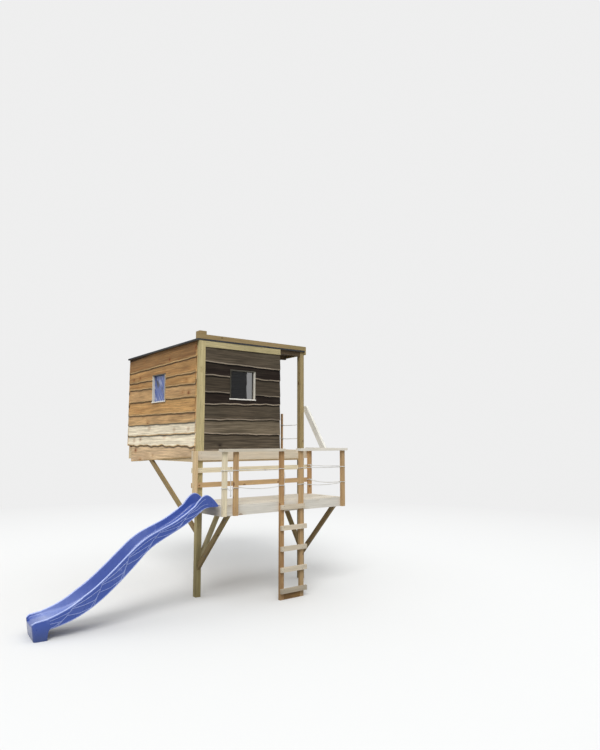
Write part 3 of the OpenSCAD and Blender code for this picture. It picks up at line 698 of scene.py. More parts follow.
ROOF = Matrix.Translation((0, FRONT_Y, PLATE_TOP)) @ Matrix.Rotation(-ROOF_FALL, 4, "X")


def roof_box(node):
    """Lowest and highest corner of a roof part, in the tilted plane of the roof."""
    flat = [ROOF.inverted() @ v.co for v in nodes[node].data.vertices]
    return (Vector([min(p[i] for p in flat) for i in range(3)]),
            Vector([max(p[i] for p in flat) for i in range(3)]))


# The roof boards take the dark material: painted shade under the roof.
bm = new_timber()
join_mesh(bm, lay_planks(*roof_box("roof_boards"), "Y", ROOF_PLANK, TIGHT, "rafter_timber", 9))
bm.transform(ROOF)
make_piece("roof_boards_planks", bm, "rafter_timber", "roof_boards")

# %% [markdown]
# ## Waney cladding
# The walls are clad with boards whose lower edge still has the line of the log. Each board is
# thick at its lower edge, thin at its upper edge, and runs up behind the next one, so that
# rain runs off. The CAD model draws them coarsely. Here each board gets a cross-section every
# 20 mm: a rounded wane, a face that is cupped a little, and an edge that wanders by a formula
# with small bumps added. Windows and the doorway cut a board into lengths. The two kinds of
# wall differ in their lists: for each board its share of the usual breadth, its slant in
# millimetres and how lively its edge is, and then how pale and how warm it is.

# %% Rules of the cladding
CLAD_STEP = 0.215
CLAD_THIN = 0.014
CLAD_LAP = 0.05
WANE = 0.007
LONG_WAVE = 0.68
SHORT_WAVE = 0.29
LONG_SHARE = 0.6
FRONT_BOARDS = ((1.21, 0, 0), (1.1, -15, 1), (1.17, 20, 1), (0.78, 38, 1.2), (1.26, -25, 0.8),
                (0.95, -15, 1), (1.25, -37, 0.6))
FRONT_TONES = ((0.35, 0.0), (0.75, 0.0), (0.25, 0.0), (0.0, 0.9), (0.3, 0.3), (0.0, 1.0), (0.3, 0.0))
SIDE_BOARDS = ((1.1, 135, 0.2), (0.86, 0, 2.2), (0.89, 40, 0.8), (0.79, 15, 0.8), (1.16, -15, 0.6),
               (1.02, -15, 0.8), (0.72, -40, 0.8), (1.04, 15, 0.8), (1.33, 65, 0.6))
# The upper side boards grow darker towards the eaves, most of all the top one: painted shade.
SIDE_TONES_AND_SHADE = ((0.35, 0.0), (1.0, 0.0), (1.0, 0.0), (0.1, 0.0), (0.0, 0.0), (0.1, 0.1), (0.0, 0.15),
              (0.0, 0.35), (0.0, 0.75))
BOARDING = {"grey_cladding": (FRONT_BOARDS, FRONT_TONES), "warm_cladding": (SIDE_BOARDS, SIDE_TONES_AND_SHADE)}
SLICE = 0.02
LEAST = 0.004
RAGGED = 0.02
# Where the painted shade below the board above fades in, and where it is full.
LAP_SHADE_FADE = 0.034
LAP_SHADE_DARK = 0.012
WANE_CHAMFER = 0.45
SAWN_CHAMFER = 0.1
CUP = 0.0012
THIN = 0.001
STUD_GAP = 0.6
RAFTER = 0.07
WALL_TOP = PLATE_TOP - RAFTER
OPEN = 9.0
SILL_EAR = 0.012
frame_low, frame_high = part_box("front_window_frame")
side_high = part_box("left_window_frame")[1]
plate_low, plate_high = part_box("front_plate_board")
sill, head = frame_low.z, frame_high.z
WINDOW = head - sill


def wander(x, number):
    """How far a waney edge lies above its straight line."""
    slow = math.sin(2 * math.pi * x / LONG_WAVE + math.radians(70 * number))
    quick = math.sin(2 * math.pi * x / SHORT_WAVE + math.radians(131 * number))
    bump = noise.noise(Vector((x * 14, number * 3.7, 0.5)))
    return WANE * (LONG_SHARE * slow + (1 - LONG_SHARE) * quick + 0.35 * bump)


def roof_under(y, dip=0.0):
    """Height of the roof boards' underside at a place along Y, or of a plane this far below it."""
    return PLATE_TOP - dip - (y - FRONT_Y) * math.tan(ROOF_FALL)


def cut_under(bm, dip):
    """Presses what stands above the roof's underside down to it."""
    for v in bm.verts:
        v.co.z = min(v.co.z, roof_under(v.co.y, dip))


def rows_of(boards, low, top):
    """The boards of a wall from the lowest up: number, height of the edge, and upper limit."""
    edges = [low]
    while edges[-1] < top:
        edges.append(edges[-1] + boards[(len(edges) - 1) % len(boards)][0] * CLAD_STEP)
    return [(i, edges[i], min(edges[i + 1] + CLAD_LAP, top)) for i in range(len(edges) - 1)]


def waney_line(boards, low, top, number, length):
    """The lower edge of a board of a wall, as a function of the place along the wall."""
    edges = {i: edge for i, edge, limit in rows_of(boards, low, top)}
    rise, lively = boards[number % len(boards)][1] / 1000, boards[number % len(boards)][2]
    edge = edges.get(number, 2 * top)
    return lambda x: edge + rise * (x / length - 0.5) + lively * wander(x, number)


print("Front wall has", len(rows_of(FRONT_BOARDS, FLOOR_TOP, plate_low.z)), "boards")


# %% One length of cladding
def join_rings(bm, rings):
    """Joins rings of as many points each with faces."""
    size = len(rings[0])
    for a, b in zip(rings, rings[1:]):
        for j in range(size):
            bm.faces.new((a[j], a[(j + 1) % size], b[(j + 1) % size], b[j]))


def add_cladding(whole, start, end, floor, ceiling, low, above, number, tone, centre):
    """A length of waney board from start to end, between a lower and an upper line."""
    part = new_timber()
    wane, lap_shade = (part.verts.layers.float[share] for share in ("wane", "lap_shade"))
    steps = max(2, round((end - start) / SLICE))
    rings = []
    for i in range(steps + 1):
        x = start + (end - start) * i / steps
        z0, z1 = floor(x), max(ceiling(x), floor(x) + LEAST)
        natural = abs(z0 - low(x)) < 1e-6
        chamfer = (WANE_CHAMFER if natural else SAWN_CHAMFER) * CLAD_T
        cup = CUP * noise.noise(Vector((x * 2.1, number * 5.3, 2.0)))

        def face(z):
            return -(CLAD_T - (z - low(x)) * (CLAD_T - CLAD_THIN) / CLAD_STEP) + abs(cup)

        middle = min(z0 + (z1 - z0) * 0.5, above(x) - LAP_SHADE_FADE - THIN)
        middle = max(middle, z0 + chamfer * 2.0 + THIN)
        fade, dark = (max(middle + THIN, min(above(x) - d, z1 - 2 * THIN)) for d in (LAP_SHADE_FADE, LAP_SHADE_DARK))
        below = 1.0 if z1 > above(x) - LAP_SHADE_DARK else 0.0
        # The last points carry painted shade: full just below the board above, fading out further down.
        section = [(0.0, z0, 0.4, 0.0), (face(z0) + chamfer * 1.15, z0, 0.8, 0.0),
                   (face(z0) + chamfer * 0.45, z0 + chamfer * 0.4, 1.0, 0.0),
                   (face(z0 + chamfer) + THIN, z0 + chamfer * 1.1, 0.9, 0.0),
                   (face(z0), z0 + chamfer * 2.0, 0.0, 0.0), (face(middle) + cup, middle, 0.0, 0.0),
                   (face(fade), fade, 0.0, 0.0), (face(dark), dark, 0.0, below),
                   (face(z1), z1 - THIN, 0.0, below), (0.0, z1, 0.0, 0.0)]
        ring = []
        for depth, z, bark, lap_shade_share in section:
            v = part.verts.new((x, min(depth, 0.0), min(z, z1)))
            v[wane] = bark if natural else 0.0
            v[lap_shade] = lap_shade_share
            ring.append(v)
        rings.append(ring)
    join_rings(part, rings)
    part.faces.new(rings[0][::-1])
    part.faces.new(rings[-1])
    bmesh.ops.recalc_face_normals(part, faces=part.faces)
    mark_grain(part, AXES["X"], AXES["Z"], *tone, centre)
    pour(part, whole)


# %% A whole clad wall
def add_clad_wall(whole, look, place, length, low, top, spans, dip, shortened):
    """Cladding over a wall. Spans are (start, end, floor, ceiling), which leave the openings out."""
    boards, tones_and_shade = BOARDING[look]
    for number, edge, limit in rows_of(boards, low, top):
        tone = (*tones_and_shade[number % len(tones_and_shade)], draw.random())
        centre = Vector((length / 2, 0, edge))
        line = waney_line(boards, low, top, number, length)
        above = waney_line(boards, low, top, number + 1, length)
        for start, end, floor, ceiling in spans:
            begin = max(start, shortened) if number == 0 else start
            finish = end - RAGGED * tone[-1] if shortened and end == length else end

            def lower(x):
                return max(line(x), floor)

            def upper(x):
                return min(limit, ceiling, roof_under((place @ Vector((x, 0, 0))).y, dip))

            middle = (begin + finish) / 2
            if upper(middle) - lower(middle) > LEAST and upper(begin) - lower(begin) > -0.02:
                add_cladding(whole, begin, finish, lower, upper, line, above, number, tone, centre)


def clad_piece(node, look, place, length, low, top, spans, sticks, dip=0.0, shortened=0.0):
    """A wall of waney boards on its studs, in place of the CAD wall."""
    bm = new_timber()
    add_clad_wall(bm, look, place, length, low, top, spans, dip, shortened)
    bm.transform(place)
    cut_under(bm, dip)
    inside = new_timber()
    for first, last, along in sticks:
        add_board(inside, first, last, along, pale=0.4)
    inside.transform(place)
    cut_under(inside, RAFTER)
    pour(inside, bm)
    make_piece(node + "_boards", bm, look, node)


def upright(x, low):
    """A stud from the lower plate up to the upper one."""
    return (x, 0, low + STUD), (x + STUD, STUD, WALL_TOP - STUD), "Z"


def studs(length, low, start=0.0, window=(0.0, 0.0)):
    """Studs and plates of a wall, as boxes with the direction of their grain, clear of a window."""
    bays = max(1, math.ceil((length - STUD) / (STUD_GAP + STUD)))
    places = [i * (length - STUD) / bays for i in range(bays + 1)]
    clear = [x for x in places if not window[0] - 2 * STUD < x < window[1] + STUD]
    plates = [((start, 0, z), (start + length, STUD, z + STUD), "X") for z in (low, WALL_TOP - STUD)]
    return [upright(start + x, low) for x in clear] + plates


def window_sticks(length, x):
    """The studs of a wall, those beside its window, and the rails under and over it."""
    end = x + WINDOW
    sides = [upright(x - STUD, FLOOR_TOP), upright(end, FLOOR_TOP)]
    rails = [((x, 0, z), (end, STUD, z + STUD), "X") for z in (sill - STUD, head)]
    return studs(length, FLOOR_TOP, window=(x, end)) + sides + rails


def around(length, x):
    """The spans of a wall with one window."""
    end = x + WINDOW
    return [(0, x, 0, OPEN), (x, end, 0, sill), (x, end, head, OPEN), (end, length, 0, OPEN)]


print("Cladding helpers ready")

# %% The front and left walls
front_place = Matrix.Translation((POST_HALF, FRONT_Y, 0))
front_length = CABIN_RIGHT - POST_HALF
front_x = frame_low.x + SILL_EAR - POST_HALF
clad_piece("front_wall", "grey_cladding", front_place, front_length, FLOOR_TOP, plate_low.z,
           around(front_length, front_x), window_sticks(front_length, front_x))

LEFT_LOW = FLOOR_TOP - 0.1675
LOW_BOARD_SHORT = 0.16
left_place = Matrix.Translation((CABIN_LEFT, CABIN_BACK, 0)) @ Matrix.Rotation(-math.pi / 2, 4, "Z")
left_length = CABIN_BACK - POST_HALF
left_x = CABIN_BACK - side_high.y + SILL_EAR
clad_piece("left_wall", "warm_cladding", left_place, left_length, LEFT_LOW, PLATE_TOP + STUD,
           around(left_length, left_x), window_sticks(left_length, left_x), shortened=LOW_BOARD_SHORT)

# %% The back wall and the walls beside the porch
back_place = Matrix.Translation((CABIN_RIGHT + CLAD_T, CABIN_BACK, 0)) @ Matrix.Rotation(math.pi, 4, "Z")
back_length = CABIN_RIGHT - CABIN_LEFT + 2 * CLAD_T
back_inset = CLAD_T + STUD
clad_piece("back_wall", "warm_cladding", back_place, back_length, FLOOR_TOP, PLATE_TOP + STUD,
           [(0, back_length, 0, OPEN)], studs(back_length - 2 * back_inset, FLOOR_TOP, back_inset))

side_place = Matrix.Translation((CABIN_RIGHT, FRONT_Y, 0)) @ Matrix.Rotation(math.pi / 2, 4, "Z")
for node in ("door_side_wall", "rear_side_wall", "over_door_wall"):
    low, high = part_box(node)
    start, end = low.y - FRONT_Y, high.y - FRONT_Y
    clad_piece(node, "grey_cladding", side_place, CABIN_BACK - FRONT_Y, FLOOR_TOP, PLATE_TOP,
               [(start, end, low.z, OPEN)], studs(end - start, low.z, start), dip=RAFTER)

# %% [markdown]
# ## Windows
# Each window is a hole lined with four boards, the lowest one with a small sill that stands
# out and has ears. The pane sits behind them. The sill and one side of each window still have
# their white paint. The other boards are grey, partly paint that has weathered off and partly
# painted shade on the top board and on the side away from the light.

# %% Window linings
LINING_T = 0.02
LINING_OUT = 0.006

timber_material(
    "window_frame", early=(224, 220, 208), late=(208, 200, 184), pale=(236, 232, 224),
    warm_and_shade=(196, 160, 130), knot=(120, 104, 84), edge=(70, 66, 56),
    stain=(196, 184, 162), stained=0.4, knots=4.0, knotty=0.2, fibre=0.08)


def window_piece(node, place, worn):
    """Four lining boards and a sill, in the window's own frame, then set in its wall."""
    front = -CLAD_T - LINING_OUT
    back = front + frame_high.y - frame_low.y - LINING_OUT
    left, right, top = worn
    bm = new_timber()
    # The side and top boards lose their white by their share: partly weathered paint, partly painted shade
    # on the boards that face away from the light.
    for x, share in ((0, left), (WINDOW - LINING_T, right)):
        add_board(bm, (x, front, LINING_T), (x + LINING_T, back, WINDOW - LINING_T), "Z", worn=share)
    add_board(bm, (0, front, WINDOW - LINING_T), (WINDOW, back, WINDOW), "X", worn=top)
    add_board(bm, (0, -CLAD_T, 0), (WINDOW, back, LINING_T), "X")
    add_board(bm, (-SILL_EAR, front - LINING_OUT, 0), (WINDOW + SILL_EAR, -CLAD_T, LINING_T), "X", pale=1.0)
    bm.transform(place)
    make_piece(node + "_boards", bm, "window_frame", node)


# Grey on the front window's left and top boards and on the side window's top and part of its right board:
# partly weathered paint, partly painted shade.
window_piece("front_window_frame", Matrix.Translation((frame_low.x + SILL_EAR, FRONT_Y, sill)),
             (1.0, 0.0, 0.95))
window_piece("left_window_frame", Matrix.Translation((CABIN_LEFT, side_high.y - SILL_EAR, sill))
             @ Matrix.Rotation(-math.pi / 2, 4, "Z"), (0.0, 0.4, 0.9))

# %% [markdown]
# Glass is mostly what it mirrors. The front pane is a half-clear dark grey sheet, painted shade
# for the dark room behind it. The side pane is nearly solid and painted with a blue reflection
# of the sky, with pale slanting streaks and dark patches. One material does both: it asks where
# along X it is.

# %% Window panes
STREAK_TURN = math.radians(35)
tree, shader = new_material("window_glass", Roughness=0.04, IOR=1.5)
place = object_place(tree)
front_pane = math_node(tree, "GREATER_THAN", axis_of(tree, place, "X"), POST_HALF)
turned = add(tree, "ShaderNodeMapping", {"Vector": place, "Rotation": (STREAK_TURN, 0.0, 0.0)}).outputs[0]
reflection_streaks = cloud(tree, turned, (4.0, 22.0, 3.0), 4.0, 0.6)
reflection_dark_patches = cloud(tree, turned, (3.0, 9.0, 3.0), 2.0)
# Painted reflection: a blue sky reflection with pale slanting streaks and dark patches on the side pane.
painted_reflection = blend_colour(tree, spread(tree, reflection_streaks, 0.52, 0.66), seen(82, 104, 172), seen(190, 196, 220))
painted_reflection = blend_colour(tree, spread(tree, reflection_dark_patches, 0.55, 0.7), painted_reflection, seen(34, 36, 60))
# The front pane is a half-clear near-black sheet: painted shade of the dark room behind it.
finish_material(tree, shader, blend_colour(tree, front_pane, painted_reflection, seen(20, 22, 24)))
tree.links.new(spread(tree, front_pane, 0.0, 1.0, 0.96, 0.5), shader.inputs["Alpha"])
paint_node("window_panes", "window_glass")
print("Glass ready")

# %% [markdown]
# ## The slide
# A wave slide is moulded as one piece of plastic: a bed with a cove at each side, walls that
# end in rolled rims, and outer walls that hang down as a skirt. Its line follows a table of
# slopes, integrated step by step, exactly as the CAD model does. Between those stations a
# smooth curve adds four more, so that the gloss runs along it without a break. The slide is
# drawn along X and turned as a whole, because it stands a little askew to the deck. One more
# table tells how strong the painted reflection of the sky is on the bed at each station.

# %% The slide's line
SLIDE_W = 0.42
SLIDE_Y = -0.701
SLIDE_TURN = math.radians(6)
SLIDE_WALL = 0.15
SLIDE_SKIRT = 0.008
SLIDE_T = 0.006
RIM_R = 0.017
COVE = 0.04
COVE_SHARE = 0.9
END_BED = 0.08
TIP_H = 0.025
FOOT_LEN = 0.1698
FOOT_RUN = 0.025
FOOT_FALL = 0.15
FOOT_SINK = 0.6
FOOT_LEAN = math.radians(8)
FOOT_STEPS = 6
CORNER = 0.04
STEP = 0.072
STEPS = 36
FINER = 5
SLOPES = ((0, 0), (0.11, 2), (0.23, 40), (0.45, 33), (0.7, 27), (0.95, 29), (1.2, 47), (1.4, 45),
          (1.8, 40), (2.05, 32), (2.3, 20), (2.5, 12), (2.8, 10))
WALLS = ((0, TIP_H / SLIDE_WALL), (0.13, 1.18), (0.26, 0.75), (0.45, 0.73), (0.7, 0.72), (1.4, 1.08),
         (2.1, 1.13), (2.6, 0.79), (2.8, 0.71))
BEDS = ((0, 0), (1.9, 0), (2.3, 0.4), (2.6, 1), (2.8, 1))
# Painted reflection of the sky on the bed, station by station down the slide.
PAINTED_SHEENS = ((0, 0.02), (0.8, 0.08), (1.1, 0.28), (1.35, 0.17), (1.9, 0.2), (2.2, 0.3), (2.8, 0.42))
RIM_PAINTED_SHEEN = 1.0
DECK_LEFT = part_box("deck_fascia")[0].x
DECK_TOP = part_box("deck_boards")[1].z
SLIDE_PLACE = (Matrix.Translation((DECK_LEFT - (SLIDE_W / 2 + RIM_R) * math.sin(SLIDE_TURN), SLIDE_Y, 0))
               @ Matrix.Rotation(-SLIDE_TURN, 4, "Z"))


def lookup(value, table):
    """Reads a table of pairs, with straight lines between them."""
    for (a, low), (b, high) in zip(table, table[1:]):
        if value <= b:
            return low + (high - low) * max(0.0, value - a) / (b - a)
    return table[-1][1]


def slide_stations():
    """Stations down the slide: x, z, slope, rim height, bed height, skirt, inset, and the strength of the
    painted reflection.
    """
    x, z = 0.0, DECK_TOP + SLIDE_T
    found = []
    for i in range(STEPS + 1):
        s = i * STEP
        slope = math.radians(lookup(s, SLOPES))
        found.append((x, z, slope, SLIDE_WALL * lookup(s, WALLS), END_BED * lookup(s, BEDS),
                      SLIDE_SKIRT, 0.0, lookup(s, PAINTED_SHEENS)))
        x -= STEP * math.cos(slope)
        z -= STEP * math.sin(slope)
    return found


def between_stations(found):
    """Adds stations on a smooth curve through the given ones."""
    fine = []
    for i in range(len(found) - 1):
        a, b, c, d = found[max(i - 1, 0)], found[i], found[i + 1], found[min(i + 2, len(found) - 1)]
        for k in range(FINER):
            t = k / FINER
            fine.append(tuple(0.5 * (2 * q + (r - p) * t + (2 * p - 5 * q + 4 * r - s) * t * t
                                     + (3 * q - p - 3 * r + s) * t ** 3) for p, q, r, s in zip(a, b, c, d)))
    return fine + [found[-1]]


def foot_stations(last):
    """The foot: skirts that sweep down to its lower edge, and an end that leans out with round corners."""
    x, z, slope, rim, bed, skirt, inset, painted_sheen = last
    z -= SLIDE_T
    found = []
    for i in range(1, FOOT_STEPS):
        t = i / FOOT_STEPS
        down = skirt + (z - skirt) * (1 - math.sqrt(1 - t * t))
        found.append((x - FOOT_RUN * t, z + SLIDE_T * (1 - t), slope * (1 - t), rim, bed, down, 0.0, painted_sheen))
    for out in [0.0] + [FOOT_LEN - CORNER * (1 - math.sin(math.radians(a))) for a in range(0, 91, 10)]:
        d = max(0.0, out - FOOT_LEN + CORNER)
        sunk = FOOT_FALL * out + FOOT_SINK * d
        lean = FOOT_LEAN * out / FOOT_LEN
        inset = CORNER - math.sqrt(max(0.0, CORNER * CORNER - d * d))
        found.append((x - FOOT_RUN - out, z, lean, rim - sunk, bed - sunk, z / math.cos(lean), inset,
                      painted_sheen * (1 - out / FOOT_LEN)))
    return found


coarse = slide_stations()
stations = between_stations(coarse)
foot = foot_stations(coarse[-1])
print("Slide: ends at x", round(foot[-1][0], 3), "stations", len(stations) + len(foot))


# %% The slide's shell
def arc(start, end, step):
    """Angles from start to end, in radians."""
    count = round(abs(end - start) / step)
    return [math.radians(start + (end - start) * i / count) for i in range(count + 1)]


def half_section(station):
    """One side of the section, from the bed's middle over the rim and back beneath, with its painted
    reflection.
    """
    rim, bed, skirt, inset, painted_sheen = station[3:]
    w, h = SLIDE_W / 2 - inset, rim - RIM_R
    c = min(COVE, (h - bed) * COVE_SHARE)
    thin, deep, inner = RIM_R - SLIDE_T, c + SLIDE_T, w - RIM_R - c
    points = [(0, bed, painted_sheen)]
    points += [(inner + c * math.cos(a), bed + c + c * math.sin(a), painted_sheen) for a in arc(-90, 0, 10)]
    # Painted highlight along the top of each rim, and the bed's painted reflection on its inner side.
    points += [(w + RIM_R * math.cos(a), h + RIM_R * math.sin(a),
                max(RIM_PAINTED_SHEEN * math.sin(a) ** 1.5, painted_sheen * -math.cos(a))) for a in arc(180, 0, 15)]
    points += [(w + RIM_R, -skirt, 0.0), (w + RIM_R - SLIDE_T, -skirt, 0.0)]
    points += [(w + thin * math.cos(a), h + thin * math.sin(a), 0.0) for a in arc(0, 180, 15)]
    points += [(inner + deep * math.cos(a), bed + c + deep * math.sin(a), 0.0) for a in arc(0, -90, 10)]
    return points + [(0, bed - SLIDE_T, 0.0)]


def section_ring(station):
    """The closed section of a station, in place, as pairs of a point and the strength of its painted
    reflection.
    """
    half = half_section(station)
    x, z, slope = station[:3]
    flat = half + [(-p, q, painted_sheen) for p, q, painted_sheen in half[-2:0:-1]]
    return [(Vector((x - q * math.sin(slope), p, z + q * math.cos(slope))), painted_sheen) for p, q, painted_sheen in flat]


def sweep(bm, rings):
    """Joins rings of points with faces, and closes the first and the last ring."""
    layer = bm.verts.layers.float.new("painted_sheen")
    made = []
    for ring in rings:
        made.append([bm.verts.new(p) for p, painted_sheen in ring])
        for v, (p, painted_sheen) in zip(made[-1], ring):
            v[layer] = painted_sheen
    size = len(made[0])
    for a, b in zip(made, made[1:]):
        for j in range(size):
            bm.faces.new((a[j], b[j], b[(j + 1) % size], a[(j + 1) % size]))
    half = size // 2
    for ring in (made[0], made[-1]):
        for k in range(half // 2):
            for side in (1, -1):
                places = (side * k, side * (k + 1), side * (half - k - 1), side * (half - k))
                corners = list(dict.fromkeys(ring[n % size] for n in places))
                bm.faces.new(corners)


def smooth(bm):
    """Smooth shading on every face."""
    for face in bm.faces:
        face.smooth = True


def soften(bm, limit=0.6):
    """Smooth shading, with sharp edges where faces turn by more than the limit."""
    smooth(bm)
    for edge in bm.edges:
        edge.smooth = len(edge.link_faces) < 2 or edge.calc_face_angle() < limit


bm = bmesh.new()
sweep(bm, [section_ring(s) for s in stations + foot])
bmesh.ops.remove_doubles(bm, verts=bm.verts, dist=1e-6)
bmesh.ops.recalc_face_normals(bm, faces=bm.faces)
print("Slide shell:", len(bm.verts), "points")

# %% [markdown]
# Moulded plastic is glossy where it is new and dull where use has rubbed it. The rims, the
# raised lines and the bed carry a painted highlight, a pale painted reflection of the sky that
# grows down the bed, and dust and long scuffs run down the slide. Near the ground it grows
# darker and greyer: partly mud, partly painted shade.

# %% Slide plastic
PLASTIC = seen(52, 80, 162)
PLASTIC_WORN = seen(134, 150, 206)
# The pale colour of the painted sky reflection on rims, lines and bed.
PAINTED_SKY_REFLECTION = seen(194, 208, 250)
# The colour the slide takes towards the ground: partly mud, partly painted shade.
MUD_AND_SHADE = seen(40, 54, 78)
MUD_AND_SHADE_TOP = 0.2

tree, shader = new_material("slide_plastic", Specular_IOR_Level=0.5, Coat_Weight=0.3, Coat_Roughness=0.12)
place = object_place(tree)
scuffs = cloud(tree, place, (9.0, 60.0, 9.0), 4.0, 0.7)
dust = cloud(tree, place, (2.2, 3.0, 2.2), 4.0, 0.6)
worn = times(tree, spread(tree, scuffs, 0.56, 0.7), spread(tree, dust, 0.42, 0.62))
colour = blend_colour(tree, times(tree, worn, 0.5), PLASTIC, PLASTIC_WORN)
colour = blend_colour(tree, spread(tree, dust, 0.5, 0.8, 0.0, 0.2), colour, PLASTIC_WORN)
# Painted reflection of the sky, from the attribute, broken up a little by dust.
painted_sheen = times(tree, attribute(tree, "painted_sheen"), spread(tree, dust, 0.3, 0.6, 0.65, 1.0))
colour = blend_colour(tree, painted_sheen, colour, PAINTED_SKY_REFLECTION)
height = times(tree, dust, -0.12, axis_of(tree, place, "Z"))
# Darker and greyer towards the ground: partly mud, partly painted shade on the foot that faces down and away
# from the light.
colour = blend_colour(tree, spread(tree, height, -0.06, MUD_AND_SHADE_TOP - 0.06, 0.6, 0.0), colour, MUD_AND_SHADE)
orange_peel = cloud(tree, place, (160.0, 160.0, 160.0), 1.0)
finish_material(tree, shader, colour, spread(tree, scuffs, 0.35, 0.7, 0.24, 0.5), orange_peel, 0.12, 0.0006)
print("Slide plastic ready")

# %% The slide's end and its lip on the deck
LIP = 0.085
LIP_W = 0.23


def add_box(bm, low, high, width=0.0015):
    """A plain box with eased edges."""
    part = bmesh.new()
    fill_box(part, Vector(low), Vector(high))
    ease(part, width)
    pour(part, bm)


def add_end_plate(bm, station):
    """The leaning plate that closes the foot's end, between its two round corners."""
    x, z, lean, rim, bed = station[:5]
    half = SLIDE_W / 2 + RIM_R - CORNER
    part = bmesh.new()
    bmesh.ops.create_cube(part, size=1.0)
    for v in part.verts:
        if v.co.z > 0:
            line, high = x - bed * math.sin(lean), z + bed * math.cos(lean)
        else:
            line, high = x + z * math.tan(lean), 0.0
        v.co = (line + (SLIDE_T if v.co.x > 0 else 0.0), math.copysign(half, v.co.y), high)
    pour(part, bm)


add_box(bm, (-SLIDE_T, -LIP_W / 2, DECK_TOP), (LIP, LIP_W / 2, DECK_TOP + SLIDE_T))
add_end_plate(bm, foot[-1])
soften(bm)

# %% [markdown]
# The outer walls are stiffened by a web of raised lines. About every half metre one line
# plunges from the rim to the lower edge and forks, and three lines climb slowly to the next.
# A line that follows a surface is a task for Geometry Nodes: a thin tube along a path of points
# on the wall, half sunk into it.

# %% A node group that makes a bead along a path
def bead_group():
    """Turns edges into a thin round bead."""
    tree, given = group("bead", ("Radius", "Float"), ("Material", "Material"))
    path = add(tree, "GeometryNodeMeshToCurve", {"Mesh": given["Geometry"]})
    ring = add(tree, "GeometryNodeCurvePrimitiveCircle", {"Resolution": 8, "Radius": given["Radius"]})
    tube = add(tree, "GeometryNodeCurveToMesh",
               {"Curve": path.outputs[0], "Profile Curve": ring.outputs[0], "Fill Caps": True})
    close_group(tree, tube.outputs[0], given["Material"])
    return tree


def run_on_paths(tree, look, paths, **values):
    """Runs a group on an object whose loose edges are paths, and returns the mesh."""
    bm = bmesh.new()
    for path in paths:
        made = [bm.verts.new(p) for p in path]
        for a, b in zip(made, made[1:]):
            bm.edges.new((a, b))
    return run_group(tree, new_object("paths", mesh_from(bm, "paths")), look, **values)


# %% Raised lines on the slide's outer walls
LINE_R = 0.003
EDGE_R = 0.005
# Strength of the painted highlight on the raised lines and the lower edges.
LINE_PAINTED_SHEEN = 0.58
LINE_EVERY = 0.46
LINE_START = -0.03
LINE_SETS = 6
LINE_FROM = 0.14
EDGE_FROM = 0.12
FINE_STEP = 0.03
WEB = (((0.06, 0.73), (0.28, 0.8), (LINE_EVERY, 0.95)),
       ((0.18, 0.3), (0.34, 0.55), (LINE_EVERY + 0.02, 0.88)),
       ((0.28, 0.05), (0.42, 0.22), (LINE_EVERY + 0.1, 0.59)),
       ((0.0, 0.95), (0.09, 0.62), (0.28, 0.05)), ((0.113, 0.55), (0.24, 0.05)))
CLIMBING = 3


def wall_point(s, share, side):
    """A point on an outer wall: how far down the slide, and how far up the wall."""
    x, z, slope, rim, bed, skirt = stations[min(round(s / STEP * FINER), len(stations) - 1)][:6]
    up = -skirt + (rim - RIM_R + skirt) * share
    return (x - up * math.sin(slope), side * (SLIDE_W / 2 + RIM_R), z + up * math.cos(slope))


def wall_path(corners, start, side):
    """A path on an outer wall through corners, with a point every few centimetres, cut at both ends."""
    spots = []
    for (a, low), (b, high) in zip(corners, corners[1:]):
        count = max(2, round(abs(b - a) / FINE_STEP))
        spots += [(start + a + (b - a) * i / count, low + (high - low) * i / count) for i in range(count)]
    spots.append((start + corners[-1][0], corners[-1][1]))
    return [wall_point(s, share, side) for s, share in spots if LINE_FROM <= s <= STEPS * STEP]


bead = bead_group()
raised, edges = [], []
for side in (-1, 1):
    for i in range(LINE_SETS):
        web = WEB if i else WEB[:CLIMBING]
        lines = [wall_path(line, LINE_START + i * LINE_EVERY, side) for line in web]
        raised += [line for line in lines if len(line) > 1]
    edges.append(wall_path(((EDGE_FROM, 0.0), (STEPS * STEP, 0.0)), 0.0, side))
for paths, radius in ((raised, LINE_R), (edges, EDGE_R)):
    part = bmesh.new()
    join_mesh(part, run_on_paths(bead, "slide_plastic", paths, Radius=radius))
    # The raised lines and the lower edges carry a painted highlight.
    layer = part.verts.layers.float.new("painted_sheen")
    for v in part.verts:
        v[layer] = LINE_PAINTED_SHEEN
    smooth(part)
    pour(part, bm)
bm.transform(SLIDE_PLACE)
make_piece("slide_shell", bm, "slide_plastic", "slide")

# %% [markdown]
# ## Roof covering
# The felt keeps its CAD solid. Its material is black with fine mineral grit, and the laps
# between its three strips are thin raised bands.

# %% Roof covering
LAP = 0.08
LAP_T = 0.002
LAP_EASE = 0.0008
STRIPS = 3

tree, shader = new_material("roof_felt", Specular_IOR_Level=0.3)
place = object_place(tree)
grit = cloud(tree, place, (420.0, 420.0, 420.0), 2.0, 0.7)
runs = cloud(tree, place, (2.4, 0.8, 2.0), 5.0, 0.6)
colour = blend_colour(tree, spread(tree, grit, 0.42, 0.68), seen(30, 31, 34), seen(84, 86, 90))
colour = blend_colour(tree, spread(tree, runs, 0.5, 0.75, 0.0, 0.5), colour, seen(96, 98, 92))
finish_material(tree, shader, colour, spread(tree, grit, 0.3, 0.7, 0.75, 0.95), grit)
paint_node("roof_covering", "roof_felt")

felt_low, felt_high = roof_box("roof_covering")
bm = bmesh.new()
for i in range(1, STRIPS):
    y = felt_low.y + (felt_high.y - felt_low.y) * i / STRIPS
    add_box(bm, (felt_low.x + LAP_T, y, felt_high.z), (felt_high.x - LAP_T, y + LAP, felt_high.z + LAP_T),
            LAP_EASE)
bm.transform(ROOF)
make_piece("roof_felt_laps", bm, "roof_felt")

